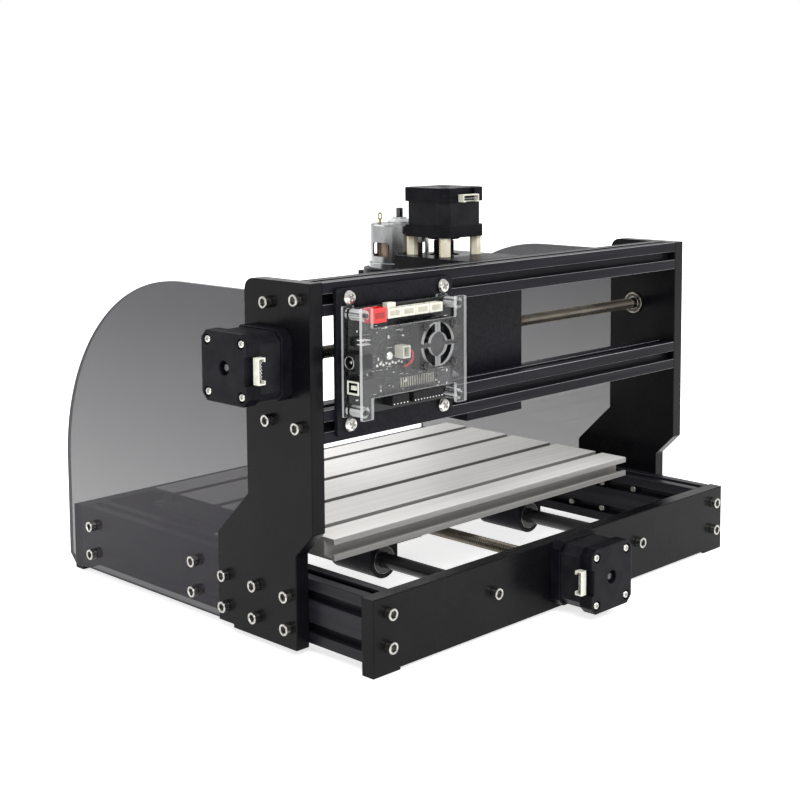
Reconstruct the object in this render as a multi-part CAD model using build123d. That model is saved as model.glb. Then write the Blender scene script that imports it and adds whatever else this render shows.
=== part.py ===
from build123d import *
import os
from math import cos, radians, sin, sqrt

os.makedirs("parts", exist_ok=True)

# Desktop router with a moving table and a fixed gantry.
# Millimetres, +Z up, ground at z = 0, front at -Y, origin at the centre of the footprint.

# base
BASE_HALF_LEN = 154.0
END_PLATE_T = 10.0
END_PLATE_HALF_W = 180.0
END_PLATE_Z0 = 1.5
BASE_TOP = 46.5
FOOT_LEN = 22.0
RAIL_IN = 158.0
RAIL_OUT = 178.0
RAIL_Z0 = 6.5
PROFILE = 20.0
AXIS_Z = 26.5
SLOT_PITCH = 20.0

# profile slots
SLOT_MOUTH = 6.2
SLOT_LIP = 1.8
SLOT_WIDE = 11.0
SLOT_FLAT = 1.5
SLOT_DEPTH = 6.0
SLOT_FLOOR = 5.6
CORE_D = 4.2

# gantry
GANTRY_IN = 178.0
GANTRY_OUT = 188.0
FOOT_FRONT = 22.0
FOOT_BACK = 96.5
FOOT_PAD_Y = 36.5
FOOT_PAD_Z = 3.8
FOOT_Z = 6.0
FRONT_KNEE_Z = 63.0
COLUMN_KNEE_Z = 92.5
COLUMN_FRONT = 52.5
COLUMN_BACK = 112.0
BACK_KNEE_LOW = 62.0
BACK_KNEE_HIGH = 77.5
GANTRY_TOP = 225.7
GANTRY_CORNER_R = 9.0
BEAM_Y = 102.0
BEAM_FACE = 112.0
BEAM_ZS = (140.4, 215.7)
X_ROD_ZS = (141.5, 212.5)
X_AXIS_Y = 75.0
X_SCREW_Z = 177.0
FOOT_SCREW_YS = (30.1, 59.7, 89.2)

# rods, screws, bearings
X_ROD_D = 10.0
Y_ROD_D = 10.0
Y_ROD_X = 75.5
ROD_TAP = 12.0
SCREW_D = 8.0
SCREW_BEVEL = 0.8
SCREW_CLEAR = 2.0
SCREW_GAP = 1.0
RUN_GAP = 0.05
BEARING_D = 16.0
BEARING_W = 5.0
BEARING_PROUD = 2.0
COUPLING_D = 14.0
COUPLING_L = 25.0
COUPLING_BEVEL = 0.5
COUPLE_START = 3.0
COUPLE_GRIP = 11.5
Z_COUPLE_GRIP = 18.0
NUT_D = 10.2
NUT_L = 15.0
NUT_FLANGE_D = 22.0
NUT_FLANGE_T = 3.5
NUT_BOLT_R = 8.0
NUT_BOLT_D = 3.4
X_LIN_D = 19.0
X_LIN_L = 55.0
Y_LIN_D = 19.0
Y_LIN_L = 29.0
CLIP_IN = 4.0
CLIP_W = 1.1
CLIP_DEPTH = 0.4

# stepper motors
MOTOR_W = 42.3
MOTOR_CHAMFER = 4.5
MOTOR_CORE_W = 40.1
MOTOR_CAP_T = 8.3
MOTOR_REAR_T = 9.6
MOTOR_L = 34.0
MOTOR_BOSS_D = 22.0
MOTOR_BOSS_T = 2.0
MOTOR_PITCH = 31.0
SHAFT_D = 5.0
SHAFT_OUT = 22.0
ROTOR_D = 25.0
STATOR_BORE = 26.0
CAP_HOLLOW = 3.0
SHAFT_WELL_D = 8.6
SHAFT_WELL_T = 2.5
COVER_HEAD_D = 5.0
COVER_HEAD_T = 1.4
COVER_WELL_D = 6.0
COVER_TAP = 5.0
CORE_CHAMFER = 5.5
ROTOR_IN_CAP = 1.0
SHAFT_RECESS = 2.0
PLUG_W = 15.8
PLUG_T = 5.2
PLUG_OUT = 4.8
PLUG_WALL = 0.8
PLUG_HOLLOW = 3.8
PLUG_TAB = 2.5
NOTCH_DEPTH = 2.2

# side panels
PANEL_IN = 180.0
PANEL_OUT = 183.0
PANEL_BOTTOM = 4.5
PANEL_TOP = 217.0
PANEL_FRONT = -156.0
PANEL_STRAIGHT_Z = 80.0
PANEL_ARC_R = 137.0
PANEL_GAP = 0.5
PANEL_CHAMFER = 6.5
PANEL_SCREW_YS = (-124.6, -7.8)

# table
TABLE_HALF_X = 150.0
TABLE_DEPTH = 186.0
TABLE_Y = -4.0
TABLE_Z0 = 48.9
TABLE_Z1 = 62.9
TABLE_SLOT_YS = (-67.5, -22.5, 22.5, 67.5)
TABLE_SLOT_MOUTH = 6.0
TABLE_SLOT_WIDE = 11.5
TABLE_SLOT_LIP = 3.0
TABLE_SLOT_DEPTH = 8.0
EDGE_WALL = 2.0
EDGE_LIP = 2.2
EDGE_DEPTH = 9.0
HOLDER_D = 25.0
HOLDER_L = 41.0
HOLDER_FAR = 61.0
BRACKET_HALF_X = 16.0
BRACKET_HALF_Y = 10.0
BRACKET_DROP = 13.0
BRACKET_BEVEL = 3.0

# x carriage
CAR_HALF = 28.0
CAR_FRONT = 62.0
CAR_BACK = 88.5
CAR_Z0 = 118.0
CAR_TOP = 225.2
TOP_PLATE_Z0 = 216.2
BOTTOM_PLATE_T = 8.0
PLATE_FRONT = 21.0
BOTTOM_SETBACK = 4.0
ROD_COVER = 2.0
Z_AXIS_Y = 41.5
Z_ROD_X = 17.5
Z_ROD_D = 8.0
Z_LIN_D = 15.0
Z_LIN_L = 24.0
Z_MOTOR_Z = 238.2
STANDOFF_AF = 7.0
RIB_D = 6.0
RIB_H = 26.0
RIB_T = 3.0
TUNNEL_D = 24.0
NUT_WALL = 16.0
COUPLING_CLEAR = 2.5
SLEEVE_CLEAR = 4.0

# spindle
SPINDLE_Y = -1.8
SLIDE_Z0 = 170.0
SLIDE_Z1 = 204.0
SLIDE_HALF_X = 27.0
SLIDE_HALF_Y = 13.5
NECK_HALF_X = 24.0
RING_Z1 = 213.5
RING_D = 52.0
EAR_HALF_X = 9.0
EAR_OUT = 8.0
EAR_END = 4.0
SPLIT_W = 3.0
CAN_D = 42.0
CAN_Z0 = 176.3
CAN_Z1 = 244.8
CAN_BOSS_D = 17.0
CAN_BOSS_T = 4.5
CAN_EDGE_R = 0.8
CAN_WALL = 1.5
CAN_END_T = 2.0
SHAFT_TOP = 256.0
SLEEVE_D = 44.6
SLEEVE_Z0 = 181.0
SLEEVE_Z1 = 217.7
WINDOW_TURNS = (2, 92, 182, 272)
WINDOW_W = 16.5
WINDOW_Z0 = 223.2
WINDOW_Z1 = 231.2
WINDOW_START = 8.0
TERMINAL_TURNS = (-45, 135)
TERMINAL_R = 14.0
TERMINAL_W = 3.2
TERMINAL_T = 0.8
TERMINAL_H = 8.0
TERMINAL_HOLE_D = 1.6
TERMINAL_HOLE_H = 5.5
ARMATURE_D = 30.0
ARMATURE_FOOT = 10.0
ARMATURE_HEAD = 14.0
CHUCK_D = 16.0
CHUCK_Z0 = 116.5
CHUCK_Z1 = 172.0
CHUCK_SOCKET = 14.0
NOSE_D = 11.0
NOSE_L = 14.0
COLLET_NUT_D = 19.0
COLLET_NUT_AF = 17.0
COLLET_NUT_LOW = 1.0
COLLET_RIM_H = 4.0
COLLET_BEVEL = 0.8
TOOL_D = 3.175
TOOL_DEPTH = 38.0

# controller
BACK_X0 = 71.0
BACK_X1 = 170.0
BACK_Z0 = 133.5
BACK_Z1 = 221.5
BACK_SCREW_INSET = 9.4
BACK_T = 3.0
BACK_CORNER_R = 3.0
BACK_TAP = 12.0
CASE_X0 = 77.3
CASE_X1 = 166.5
CASE_Z0 = 145.0
CASE_Z1 = 211.0
CASE_NOTCH = 12.5
CASE_TAB = 9.0
CASE_PLATE_T = 2.0
CASE_FRONT_Y = 130.5
CASE_FRONT_T = 2.5
BOARD_Y = 118.8
BOARD_T = 1.4
BOARD_INSET = 1.0
SPACER_D = 7.0
WASHER_D = 10.0
FAN_X = 102.0
FAN_Z = 183.3
FAN_W = 30.0
FAN_T = 7.0
FAN_BORE = 28.4
FAN_PITCH = 24.0
FAN_CORNER_R = 2.0
FAN_HUB_D = 14.0
FAN_BLADES = 7
FAN_SWEEP_D = 26.8
BLADE_R = 10.0
BLADE_L = 7.0
BLADE_T = 1.0
BLADE_TILT = 38
ROTOR_START = 1.5
ROTOR_T = 4.6
ARM_L = 14.6
ARM_W = 2.0
ARM_T = 1.2
ARM_TURNS = (30, 150, 270)
GRILLE_D = 27.0
GRILLE_HUB_D = 15.0
GRILLE_BAR_W = 2.6

# controller sockets, as (x0, x1, z0, z1) on the board with a height above it
WALL = 1.0
USB_BOX = (150.5, 167.0, 159.4, 168.6)
USB_MOUTH = (158.5, 167.0, 160.8, 167.2)
USB_H = 10.1
USB_SHELL = 1.5
INLET_BOX = (156.0, 170.0, 174.3, 184.3)
INLET_H = 10.1
INLET_Z = 179.3
INLET_BORE_X0 = 161.0
INLET_BORE_UP = 5.2
INLET_BORE_D = 6.4
WAY_X0 = 91.3
WAY_PITCH = 11.9
WAY_COUNT = 4
WAY_W = 11.5
WAY_ZS = (201.9, 207.7)
WAY_H = 5.8
WAY_FLOOR = 1.1
TERMINAL_BLOCK = (142.5, 154.0, 200.7, 209.4)
TERMINAL_BLOCK_H = 8.8
HEADER_BLOCK = (121.3, 127.6, 176.7, 184.4)
HEADER_BLOCK_H = 7.5
LOW_SOCKETS = ((94.0, 26.0), (124.0, 14.0))
LOW_ZS = (149.5, 155.5)
LOW_H = 8.5
LOW_WALL = 2.0
SINK_STEP = 13.5
SINK_HALF = 4.5
SINK_H = 3.0
CAPACITOR = (134.6, 178.8)
CAPACITOR_D = 5.0
CAPACITOR_H = 3.5

# fasteners
M5_D = 5.0
M5_HEAD_D = 7.3
M5_HEAD_T = 4.6
M3_D = 3.0
PAN_HEAD_D = 9.0
PAN_HEAD_T = 3.2
HEAD_BEVEL = 0.1
HEX_REACH = 0.27
HEX_SINK = 0.45
PAN_ROUND = 0.6
CROSS_SPAN = 0.5
CROSS_WIDTH = 0.12
FAN_HEAD_D = 5.4
FAN_HEAD_T = 1.8
FAN_SCREW_SHORT = 1.0
SHANK_GAP = 0.5
BACK_SCREW_IN = 5.5

SIDES = (-1, 1)


def box_at(x0, x1, y0, y1, z0, z1):
    block = Box(x1 - x0, y1 - y0, z1 - z0)
    return Pos((x0 + x1) / 2, (y0 + y1) / 2, (z0 + z1) / 2) * block


def rod(start, direction, length, diameter):
    body = Cylinder(diameter / 2, length, align=(Align.CENTER, Align.CENTER, Align.MIN))
    return Plane(origin=start, z_dir=direction) * body


def rod_x(x0, x1, y, z, diameter):
    return rod((x0, y, z), (1, 0, 0), x1 - x0, diameter)


def rod_y(x, y0, y1, z, diameter):
    return rod((x, y0, z), (0, 1, 0), y1 - y0, diameter)


def rod_z(x, y, z0, z1, diameter):
    return rod((x, y, z0), (0, 0, 1), z1 - z0, diameter)


def prism_x(points, x0, x1):
    face = make_face(Polyline([Vector(x0, y, z) for y, z in points], close=True))
    return extrude(face, amount=x1 - x0, dir=(1, 0, 0))


def prism_y(points, y0, y1):
    face = make_face(Polyline([Vector(x, y0, z) for x, z in points], close=True))
    return extrude(face, amount=y1 - y0, dir=(0, 1, 0))


def prism_z(points, z0, z1):
    face = make_face(Polyline([Vector(x, y, z0) for x, y in points], close=True))
    return extrude(face, amount=z1 - z0, dir=(0, 0, 1))


def group(pieces):
    solids = []
    for piece in pieces:
        solids.extend(piece.solids())
    return Compound(solids)


def save(name, shape):
    export_step(shape, "parts/" + name + ".step")


def facing(point, direction, shape):
    return Plane(origin=point, z_dir=direction) * shape


def socket_screw(length, head_d=M5_HEAD_D, head_t=M5_HEAD_T, shank_d=M5_D):
    head = Cylinder(head_d / 2, head_t, align=(Align.CENTER, Align.CENTER, Align.MIN))
    head = chamfer(head.edges().group_by(Axis.Z)[-1], head_t * HEAD_BEVEL)
    key = extrude(RegularPolygon(head_d * HEX_REACH, 6), amount=head_t)
    shank = Pos(0, 0, -length) * Cylinder(
        shank_d / 2, length, align=(Align.CENTER, Align.CENTER, Align.MIN)
    )
    return head - Pos(0, 0, head_t * HEX_SINK) * key + shank


def pan_screw(length, head_d=PAN_HEAD_D, head_t=PAN_HEAD_T, shank_d=M5_D):
    head = Cylinder(head_d / 2, head_t, align=(Align.CENTER, Align.CENTER, Align.MIN))
    head = fillet(head.edges().group_by(Axis.Z)[-1], head_t * PAN_ROUND)
    slot = Box(head_d * CROSS_SPAN, head_d * CROSS_WIDTH, head_t)
    cross = slot + Rot(0, 0, 90) * slot
    shank = Pos(0, 0, -length) * Cylinder(
        shank_d / 2, length, align=(Align.CENTER, Align.CENTER, Align.MIN)
    )
    return head - Pos(0, 0, head_t) * cross + shank


def slot_outline():
    """T-slot cut, mouth at y = 10, pointing +Y."""
    top = PROFILE / 2
    lip = top - SLOT_LIP
    flat = lip - SLOT_FLAT
    floor = top - SLOT_DEPTH
    half = SLOT_MOUTH / 2
    return [
        (-half, top + 1),
        (-half, lip),
        (-SLOT_WIDE / 2, lip),
        (-SLOT_WIDE / 2, flat),
        (-SLOT_FLOOR / 2, floor),
        (SLOT_FLOOR / 2, floor),
        (SLOT_WIDE / 2, flat),
        (SLOT_WIDE / 2, lip),
        (half, lip),
        (half, top + 1),
    ]


def slot_face(angle, shift):
    face = make_face(Polyline([Vector(x, y, 0) for x, y in slot_outline()], close=True))
    return Pos(0, shift, 0) * Rot(0, 0, angle) * face


def square_profile():
    face = Rectangle(PROFILE, PROFILE)
    for quarter in range(4):
        face -= slot_face(90 * quarter, 0)
    return face - Circle(CORE_D / 2)


def tall_profile():
    face = Rectangle(PROFILE, 2 * PROFILE)
    face -= slot_face(0, PROFILE / 2)
    face -= slot_face(180, -PROFILE / 2)
    for shift in SIDES:
        for angle in (90, -90):
            face -= slot_face(angle, shift * SLOT_PITCH / 2)
        face -= Pos(0, shift * SLOT_PITCH / 2) * Circle(CORE_D / 2)
    return face


# ---- base ---------------------------------------------------------------


def end_plate(side):
    y0 = side * BASE_HALF_LEN
    y1 = side * (BASE_HALF_LEN - END_PLATE_T)
    lo, hi = min(y0, y1), max(y0, y1)
    plate = box_at(-END_PLATE_HALF_W, END_PLATE_HALF_W, lo, hi, END_PLATE_Z0, BASE_TOP)
    for end in SIDES:
        outer = end * END_PLATE_HALF_W
        inner = end * (END_PLATE_HALF_W - FOOT_LEN)
        plate += box_at(min(outer, inner), max(outer, inner), lo, hi, 0, END_PLATE_Z0)
        for z in base_screw_zs():
            plate -= rod_y(end * rail_centre(), lo, hi, z, M5_D)
        plate -= rod_y(end * Y_ROD_X, lo, hi, AXIS_Z, M5_D)
    return plate, lo, hi


def base_screw_zs():
    return (AXIS_Z - SLOT_PITCH / 2, AXIS_Z + SLOT_PITCH / 2)


def rail_centre():
    return (RAIL_IN + RAIL_OUT) / 2


def front_plate():
    plate, lo, hi = end_plate(-1)
    plate -= rod_y(0, hi - BEARING_W + BEARING_PROUD, hi, AXIS_Z, BEARING_D)
    return plate - rod_y(0, lo, hi, AXIS_Z, SCREW_D + SCREW_CLEAR)


def rear_plate():
    plate, lo, hi = end_plate(1)
    plate -= rod_y(0, lo, hi, AXIS_Z, MOTOR_BOSS_D)
    for point in motor_corners():
        plate -= rod_y(point[0], lo, hi, AXIS_Z + point[1], M3_D)
    return plate


def motor_corners():
    half = MOTOR_PITCH / 2
    return [(x * half, y * half) for x in SIDES for y in SIDES]


def base_rail(side):
    length = 2 * (BASE_HALF_LEN - END_PLATE_T)
    bar = extrude(tall_profile(), amount=length)
    plane = Plane(origin=(side * rail_centre(), -length / 2, AXIS_Z), x_dir=(-1, 0, 0), z_dir=(0, 1, 0))
    bar = plane * bar
    for y in FOOT_SCREW_YS + PANEL_SCREW_YS:
        for z in base_screw_zs():
            bar -= rod_x(side * rail_centre() - PROFILE, side * rail_centre() + PROFILE, y, z, M5_D)
    return bar


def y_rod(side):
    half = BASE_HALF_LEN - END_PLATE_T
    bar = rod_y(side * Y_ROD_X, -half, half, AXIS_Z, Y_ROD_D)
    for end in SIDES:
        bar -= rod((side * Y_ROD_X, end * half, AXIS_Z), (0, -end, 0), ROD_TAP, M5_D)
    return bar


# ---- gantry -------------------------------------------------------------


def gantry_outline():
    return [
        (FOOT_FRONT, FOOT_Z),
        (FOOT_PAD_Y, FOOT_Z),
        (FOOT_PAD_Y, FOOT_PAD_Z),
        (FOOT_BACK, FOOT_PAD_Z),
        (FOOT_BACK, BACK_KNEE_LOW),
        (COLUMN_BACK, BACK_KNEE_HIGH),
        (COLUMN_BACK, GANTRY_TOP),
        (COLUMN_FRONT, GANTRY_TOP),
        (COLUMN_FRONT, COLUMN_KNEE_Z),
        (FOOT_FRONT, FRONT_KNEE_Z),
    ]


def gantry_plate(side):
    x0 = side * GANTRY_IN
    x1 = side * GANTRY_OUT
    plate = prism_x(gantry_outline(), min(x0, x1), max(x0, x1))
    corner = plate.edges().filter_by(Axis.X).group_by(Axis.Z)[-1].sort_by(Axis.Y)[0]
    plate = fillet(corner, GANTRY_CORNER_R)
    for y in FOOT_SCREW_YS:
        for z in base_screw_zs():
            plate -= rod_x(min(x0, x1), max(x0, x1), y, z, M5_D)
    for z in BEAM_ZS:
        plate -= rod_x(min(x0, x1), max(x0, x1), BEAM_Y, z, M5_D)
    for z in X_ROD_ZS:
        plate -= rod_x(min(x0, x1), max(x0, x1), X_AXIS_Y, z, M5_D)
    return plate


def left_gantry_plate():
    plate = gantry_plate(-1)
    depth = BEARING_W - BEARING_PROUD
    plate -= rod_x(-GANTRY_IN - depth, -GANTRY_IN, X_AXIS_Y, X_SCREW_Z, BEARING_D)
    return plate - rod_x(-GANTRY_OUT, -GANTRY_IN, X_AXIS_Y, X_SCREW_Z, SCREW_D + SCREW_CLEAR)


def right_gantry_plate():
    plate = gantry_plate(1)
    plate -= rod_x(GANTRY_IN, GANTRY_OUT, X_AXIS_Y, X_SCREW_Z, MOTOR_BOSS_D)
    for point in motor_corners():
        plate -= rod_x(GANTRY_IN, GANTRY_OUT, X_AXIS_Y + point[0], X_SCREW_Z + point[1], M3_D)
    return plate


def beam(z):
    bar = extrude(square_profile(), amount=2 * GANTRY_IN)
    plane = Plane(origin=(-GANTRY_IN, BEAM_Y, z), x_dir=(0, 1, 0), z_dir=(1, 0, 0))
    bar = plane * bar
    for x in plate_screw_xs():
        bar -= rod_y(x, BEAM_FACE - BACK_TAP, BEAM_FACE, z, M5_D)
    return bar


def plate_screw_xs():
    return (BACK_X0 + BACK_SCREW_INSET, BACK_X1 - BACK_SCREW_INSET)


def x_rod(z):
    bar = rod_x(-GANTRY_IN, GANTRY_IN, X_AXIS_Y, z, X_ROD_D)
    for end in SIDES:
        bar -= rod((end * GANTRY_IN, X_AXIS_Y, z), (-end, 0, 0), ROD_TAP, M5_D)
    return bar


def panel_outline():
    front = PANEL_FRONT
    gap = PANEL_GAP
    centre_y = front + PANEL_ARC_R
    points = [
        (front + PANEL_CHAMFER, PANEL_BOTTOM),
        (FOOT_FRONT - gap, PANEL_BOTTOM),
        (FOOT_FRONT - gap, FRONT_KNEE_Z + gap / 2),
        (COLUMN_FRONT - gap, COLUMN_KNEE_Z + gap / 2),
        (COLUMN_FRONT - gap, PANEL_TOP),
        (centre_y, PANEL_TOP),
    ]
    return points, front, centre_y


def side_panel(side):
    points, front, centre_y = panel_outline()
    x0 = min(side * PANEL_IN, side * PANEL_OUT)
    start = Vector(x0, centre_y, PANEL_TOP)
    end = Vector(x0, front, PANEL_STRAIGHT_Z)
    mid_y = centre_y - PANEL_ARC_R * sqrt(0.5)
    mid_z = PANEL_STRAIGHT_Z + PANEL_ARC_R * sqrt(0.5)
    first = Polyline([Vector(x0, y, z) for y, z in points])
    arc = ThreePointArc(start, Vector(x0, mid_y, mid_z), end)
    corner = (front, PANEL_BOTTOM + PANEL_CHAMFER)
    last = Polyline([end, Vector(x0, corner[0], corner[1]), Vector(x0, points[0][0], points[0][1])])
    face = make_face(Curve() + first + arc + last)
    panel = extrude(face, amount=PANEL_OUT - PANEL_IN, dir=(1, 0, 0))
    for y in PANEL_SCREW_YS:
        for z in base_screw_zs():
            panel -= rod_x(x0, x0 + PANEL_OUT - PANEL_IN, y, z, M5_D)
    return panel


# ---- motors -------------------------------------------------------------


def chamfered_square(width, cut):
    half = width / 2
    pts = []
    for sx, sy in ((1, 1), (-1, 1), (-1, -1), (1, -1)):
        along = [(half * sx, (half - cut) * sy), ((half - cut) * sx, half * sy)]
        if sx * sy < 0:
            along.reverse()
        pts.extend(along)
    return pts


def motor_end_caps():
    front = prism_z(chamfered_square(MOTOR_W, MOTOR_CHAMFER), 0, MOTOR_CAP_T)
    front += rod_z(0, 0, -MOTOR_BOSS_T, 0, MOTOR_BOSS_D)
    front -= rod_z(0, 0, MOTOR_CAP_T - CAP_HOLLOW, MOTOR_CAP_T, STATOR_BORE)
    inner = MOTOR_L - MOTOR_REAR_T
    rear = prism_z(chamfered_square(MOTOR_W, MOTOR_CHAMFER), inner, MOTOR_L)
    rear -= rod_z(0, 0, inner, inner + CAP_HOLLOW, STATOR_BORE)
    rear -= rod_z(0, 0, MOTOR_L - SHAFT_WELL_T, MOTOR_L, SHAFT_WELL_D)
    half = PLUG_W / 2 + PLUG_WALL
    rear -= box_at(-half, half, MOTOR_W / 2 - NOTCH_DEPTH, MOTOR_W / 2, inner + PLUG_T, MOTOR_L)
    bore = rod_z(0, 0, -MOTOR_BOSS_T, MOTOR_L, SHAFT_D + 2 * RUN_GAP)
    for x, y in motor_corners():
        rear -= rod_z(x, y, inner, MOTOR_L, M3_D)
        rear -= rod_z(x, y, MOTOR_L - COVER_HEAD_T, MOTOR_L, COVER_WELL_D)
        front -= rod_z(x, y, 0, COVER_TAP, M3_D)
    return group([front - bore, rear - bore])


def motor_stator():
    outline = chamfered_square(MOTOR_CORE_W, CORE_CHAMFER)
    core = prism_z(outline, MOTOR_CAP_T, MOTOR_L - MOTOR_REAR_T)
    return core - rod_z(0, 0, MOTOR_CAP_T, MOTOR_L - MOTOR_REAR_T, STATOR_BORE)


def motor_shaft():
    shaft = rod_z(0, 0, -SHAFT_OUT, MOTOR_L - SHAFT_RECESS, SHAFT_D)
    rotor_end = MOTOR_L - MOTOR_REAR_T + ROTOR_IN_CAP
    return shaft + rod_z(0, 0, MOTOR_CAP_T - ROTOR_IN_CAP, rotor_end, ROTOR_D)


def motor_socket():
    """Six-way socket on the rear cover, open outwards and towards the laminations."""
    half, depth, wall = PLUG_W / 2, PLUG_OUT, PLUG_WALL
    body = box_at(-half, half, 0, depth, 0, PLUG_T)
    floor, tab = depth - PLUG_HOLLOW, PLUG_TAB
    body -= box_at(wall - half, half - wall, floor, depth, wall, PLUG_T - wall)
    body -= box_at(tab - half, half - tab, floor, depth, 0, wall)
    return Pos(0, MOTOR_W / 2, MOTOR_L - MOTOR_REAR_T) * body


def motor_cover_screws():
    screw = pan_screw(COVER_TAP, head_d=COVER_HEAD_D, head_t=COVER_HEAD_T, shank_d=M3_D)
    return [Pos(x, y, MOTOR_L - COVER_HEAD_T) * screw for x, y in motor_corners()]


def on_x_motor(shape):
    face = Plane(origin=(GANTRY_OUT, X_AXIS_Y, X_SCREW_Z), x_dir=(0, 0, -1), z_dir=(1, 0, 0))
    return face * shape


def on_y_motor(shape):
    face = Plane(origin=(0, BASE_HALF_LEN, AXIS_Z), x_dir=(0, 0, 1), z_dir=(0, 1, 0))
    return face * shape


def on_z_motor(shape):
    return Pos(0, Z_AXIS_Y, Z_MOTOR_Z) * shape


def coupling(length_in_shaft):
    """Solid flexible coupling along +Z, motor side up."""
    body = Cylinder(COUPLING_D / 2, COUPLING_L, align=(Align.CENTER, Align.CENTER, Align.MIN))
    body = chamfer(body.edges().filter_by(GeomType.CIRCLE), COUPLING_BEVEL)
    split = COUPLING_L - length_in_shaft
    body -= rod_z(0, 0, 0, split, SCREW_D)
    return body - rod_z(0, 0, split, COUPLING_L, SHAFT_D)


def ring_bearing():
    body = Cylinder(BEARING_D / 2, BEARING_W, align=(Align.CENTER, Align.CENTER, Align.MIN))
    return body - rod_z(0, 0, 0, BEARING_W, SCREW_D + 2 * RUN_GAP)


def lead_nut():
    """Flanged nut along +Z, flange below the body."""
    body = rod_z(0, 0, 0, NUT_FLANGE_T, NUT_FLANGE_D)
    body += rod_z(0, 0, NUT_FLANGE_T, NUT_L, NUT_D)
    for quarter in range(4):
        turn = radians(45 + 90 * quarter)
        body -= rod_z(NUT_BOLT_R * cos(turn), NUT_BOLT_R * sin(turn), 0, NUT_FLANGE_T, NUT_BOLT_D)
    return body - rod_z(0, 0, 0, NUT_L, SCREW_D + 2 * RUN_GAP)


def linear_bearing(length, outer, inner):
    body = rod_z(0, 0, 0, length, outer) - rod_z(0, 0, 0, length, inner + 2 * RUN_GAP)
    for z in (CLIP_IN, length - CLIP_IN - CLIP_W):
        groove = rod_z(0, 0, z, z + CLIP_W, outer)
        body -= groove - rod_z(0, 0, z, z + CLIP_W, outer - 2 * CLIP_DEPTH)
    return body


def lead_screw(length):
    body = rod_z(0, 0, 0, length, SCREW_D)
    return chamfer(body.edges().filter_by(GeomType.CIRCLE), SCREW_BEVEL)


def x_drive():
    start = GANTRY_IN - COUPLE_START - COUPLING_L
    plane = Plane(origin=(start, X_AXIS_Y, X_SCREW_Z), z_dir=(1, 0, 0))
    split = start + COUPLING_L - COUPLE_GRIP
    tail = -GANTRY_IN - BEARING_W + BEARING_PROUD
    screw = facing((tail, X_AXIS_Y, X_SCREW_Z), (1, 0, 0), lead_screw(split - SCREW_GAP - tail))
    return plane * coupling(COUPLE_GRIP), screw


def y_drive():
    inner = BASE_HALF_LEN - END_PLATE_T
    start = inner - COUPLE_START - COUPLING_L
    plane = Plane(origin=(0, start, AXIS_Z), z_dir=(0, 1, 0))
    split = start + COUPLING_L - COUPLE_GRIP
    tail = -inner - BEARING_W + BEARING_PROUD
    screw = facing((0, tail, AXIS_Z), (0, 1, 0), lead_screw(split - SCREW_GAP - tail))
    return plane * coupling(COUPLE_GRIP), screw


def z_drive():
    start = Z_MOTOR_Z - COUPLE_START - COUPLING_L
    split = start + COUPLING_L - Z_COUPLE_GRIP
    tail = CAR_Z0 + SCREW_GAP
    screw = Pos(0, Z_AXIS_Y, tail) * lead_screw(split - SCREW_GAP - tail)
    return Pos(0, Z_AXIS_Y, start) * coupling(Z_COUPLE_GRIP), screw


# ---- table --------------------------------------------------------------


def table_section():
    half = TABLE_DEPTH / 2
    face = Rectangle(TABLE_DEPTH, TABLE_Z1 - TABLE_Z0)
    top = (TABLE_Z1 - TABLE_Z0) / 2
    for y in TABLE_SLOT_YS:
        mouth = Rectangle(TABLE_SLOT_MOUTH, TABLE_SLOT_DEPTH)
        cavity = Rectangle(TABLE_SLOT_WIDE, TABLE_SLOT_DEPTH - TABLE_SLOT_LIP)
        face -= Pos(y, top - TABLE_SLOT_DEPTH / 2) * mouth
        face -= Pos(y, top - (TABLE_SLOT_DEPTH + TABLE_SLOT_LIP) / 2) * cavity
    for side in SIDES:
        mouth = Rectangle(EDGE_DEPTH, SLOT_MOUTH)
        cavity = Rectangle(EDGE_DEPTH - EDGE_LIP, 2 * (top - EDGE_WALL))
        face -= Pos(side * (half - EDGE_DEPTH / 2), 0) * mouth
        face -= Pos(side * (half - (EDGE_DEPTH + EDGE_LIP) / 2), 0) * cavity
    return face


def work_table():
    slab = extrude(table_section(), amount=2 * TABLE_HALF_X)
    middle = (TABLE_Z0 + TABLE_Z1) / 2
    plane = Plane(origin=(-TABLE_HALF_X, TABLE_Y, middle), x_dir=(0, 1, 0), z_dir=(1, 0, 0))
    return plane * slab


def bearing_spans():
    rear = (TABLE_Y + HOLDER_FAR - HOLDER_L, TABLE_Y + HOLDER_FAR)
    front = (TABLE_Y - HOLDER_FAR, TABLE_Y - HOLDER_FAR + HOLDER_L)
    return (rear, front)


def table_bearing_holders():
    blocks = []
    for side in SIDES:
        x = side * Y_ROD_X
        for y0, y1 in bearing_spans():
            block = rod_y(x, y0, y1, AXIS_Z, HOLDER_D)
            block += box_at(x - HOLDER_D / 2, x + HOLDER_D / 2, y0, y1, AXIS_Z, TABLE_Z0)
            blocks.append(block - rod_y(x, y0, y1, AXIS_Z, Y_LIN_D))
    return group(blocks)


def table_bearings():
    pieces = []
    for side in SIDES:
        for y0, y1 in bearing_spans():
            start = (y0 + y1 - Y_LIN_L) / 2
            body = linear_bearing(Y_LIN_L, Y_LIN_D, Y_ROD_D)
            pieces.append(facing((side * Y_ROD_X, start, AXIS_Z), (0, 1, 0), body))
    return group(pieces)


def y_nut_bracket():
    half = BRACKET_HALF_X
    y0, y1 = TABLE_Y - BRACKET_HALF_Y, TABLE_Y + BRACKET_HALF_Y
    body = box_at(-half, half, y0, y1, AXIS_Z - BRACKET_DROP, TABLE_Z0)
    body = chamfer(body.edges().filter_by(Axis.Y).group_by(Axis.Z)[0], BRACKET_BEVEL)
    return body - rod_y(0, y0, y1, AXIS_Z, NUT_D)


def y_nut():
    flange = TABLE_Y - BRACKET_HALF_Y - NUT_FLANGE_T
    return facing((0, flange, AXIS_Z), (0, 1, 0), lead_nut())


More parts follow.
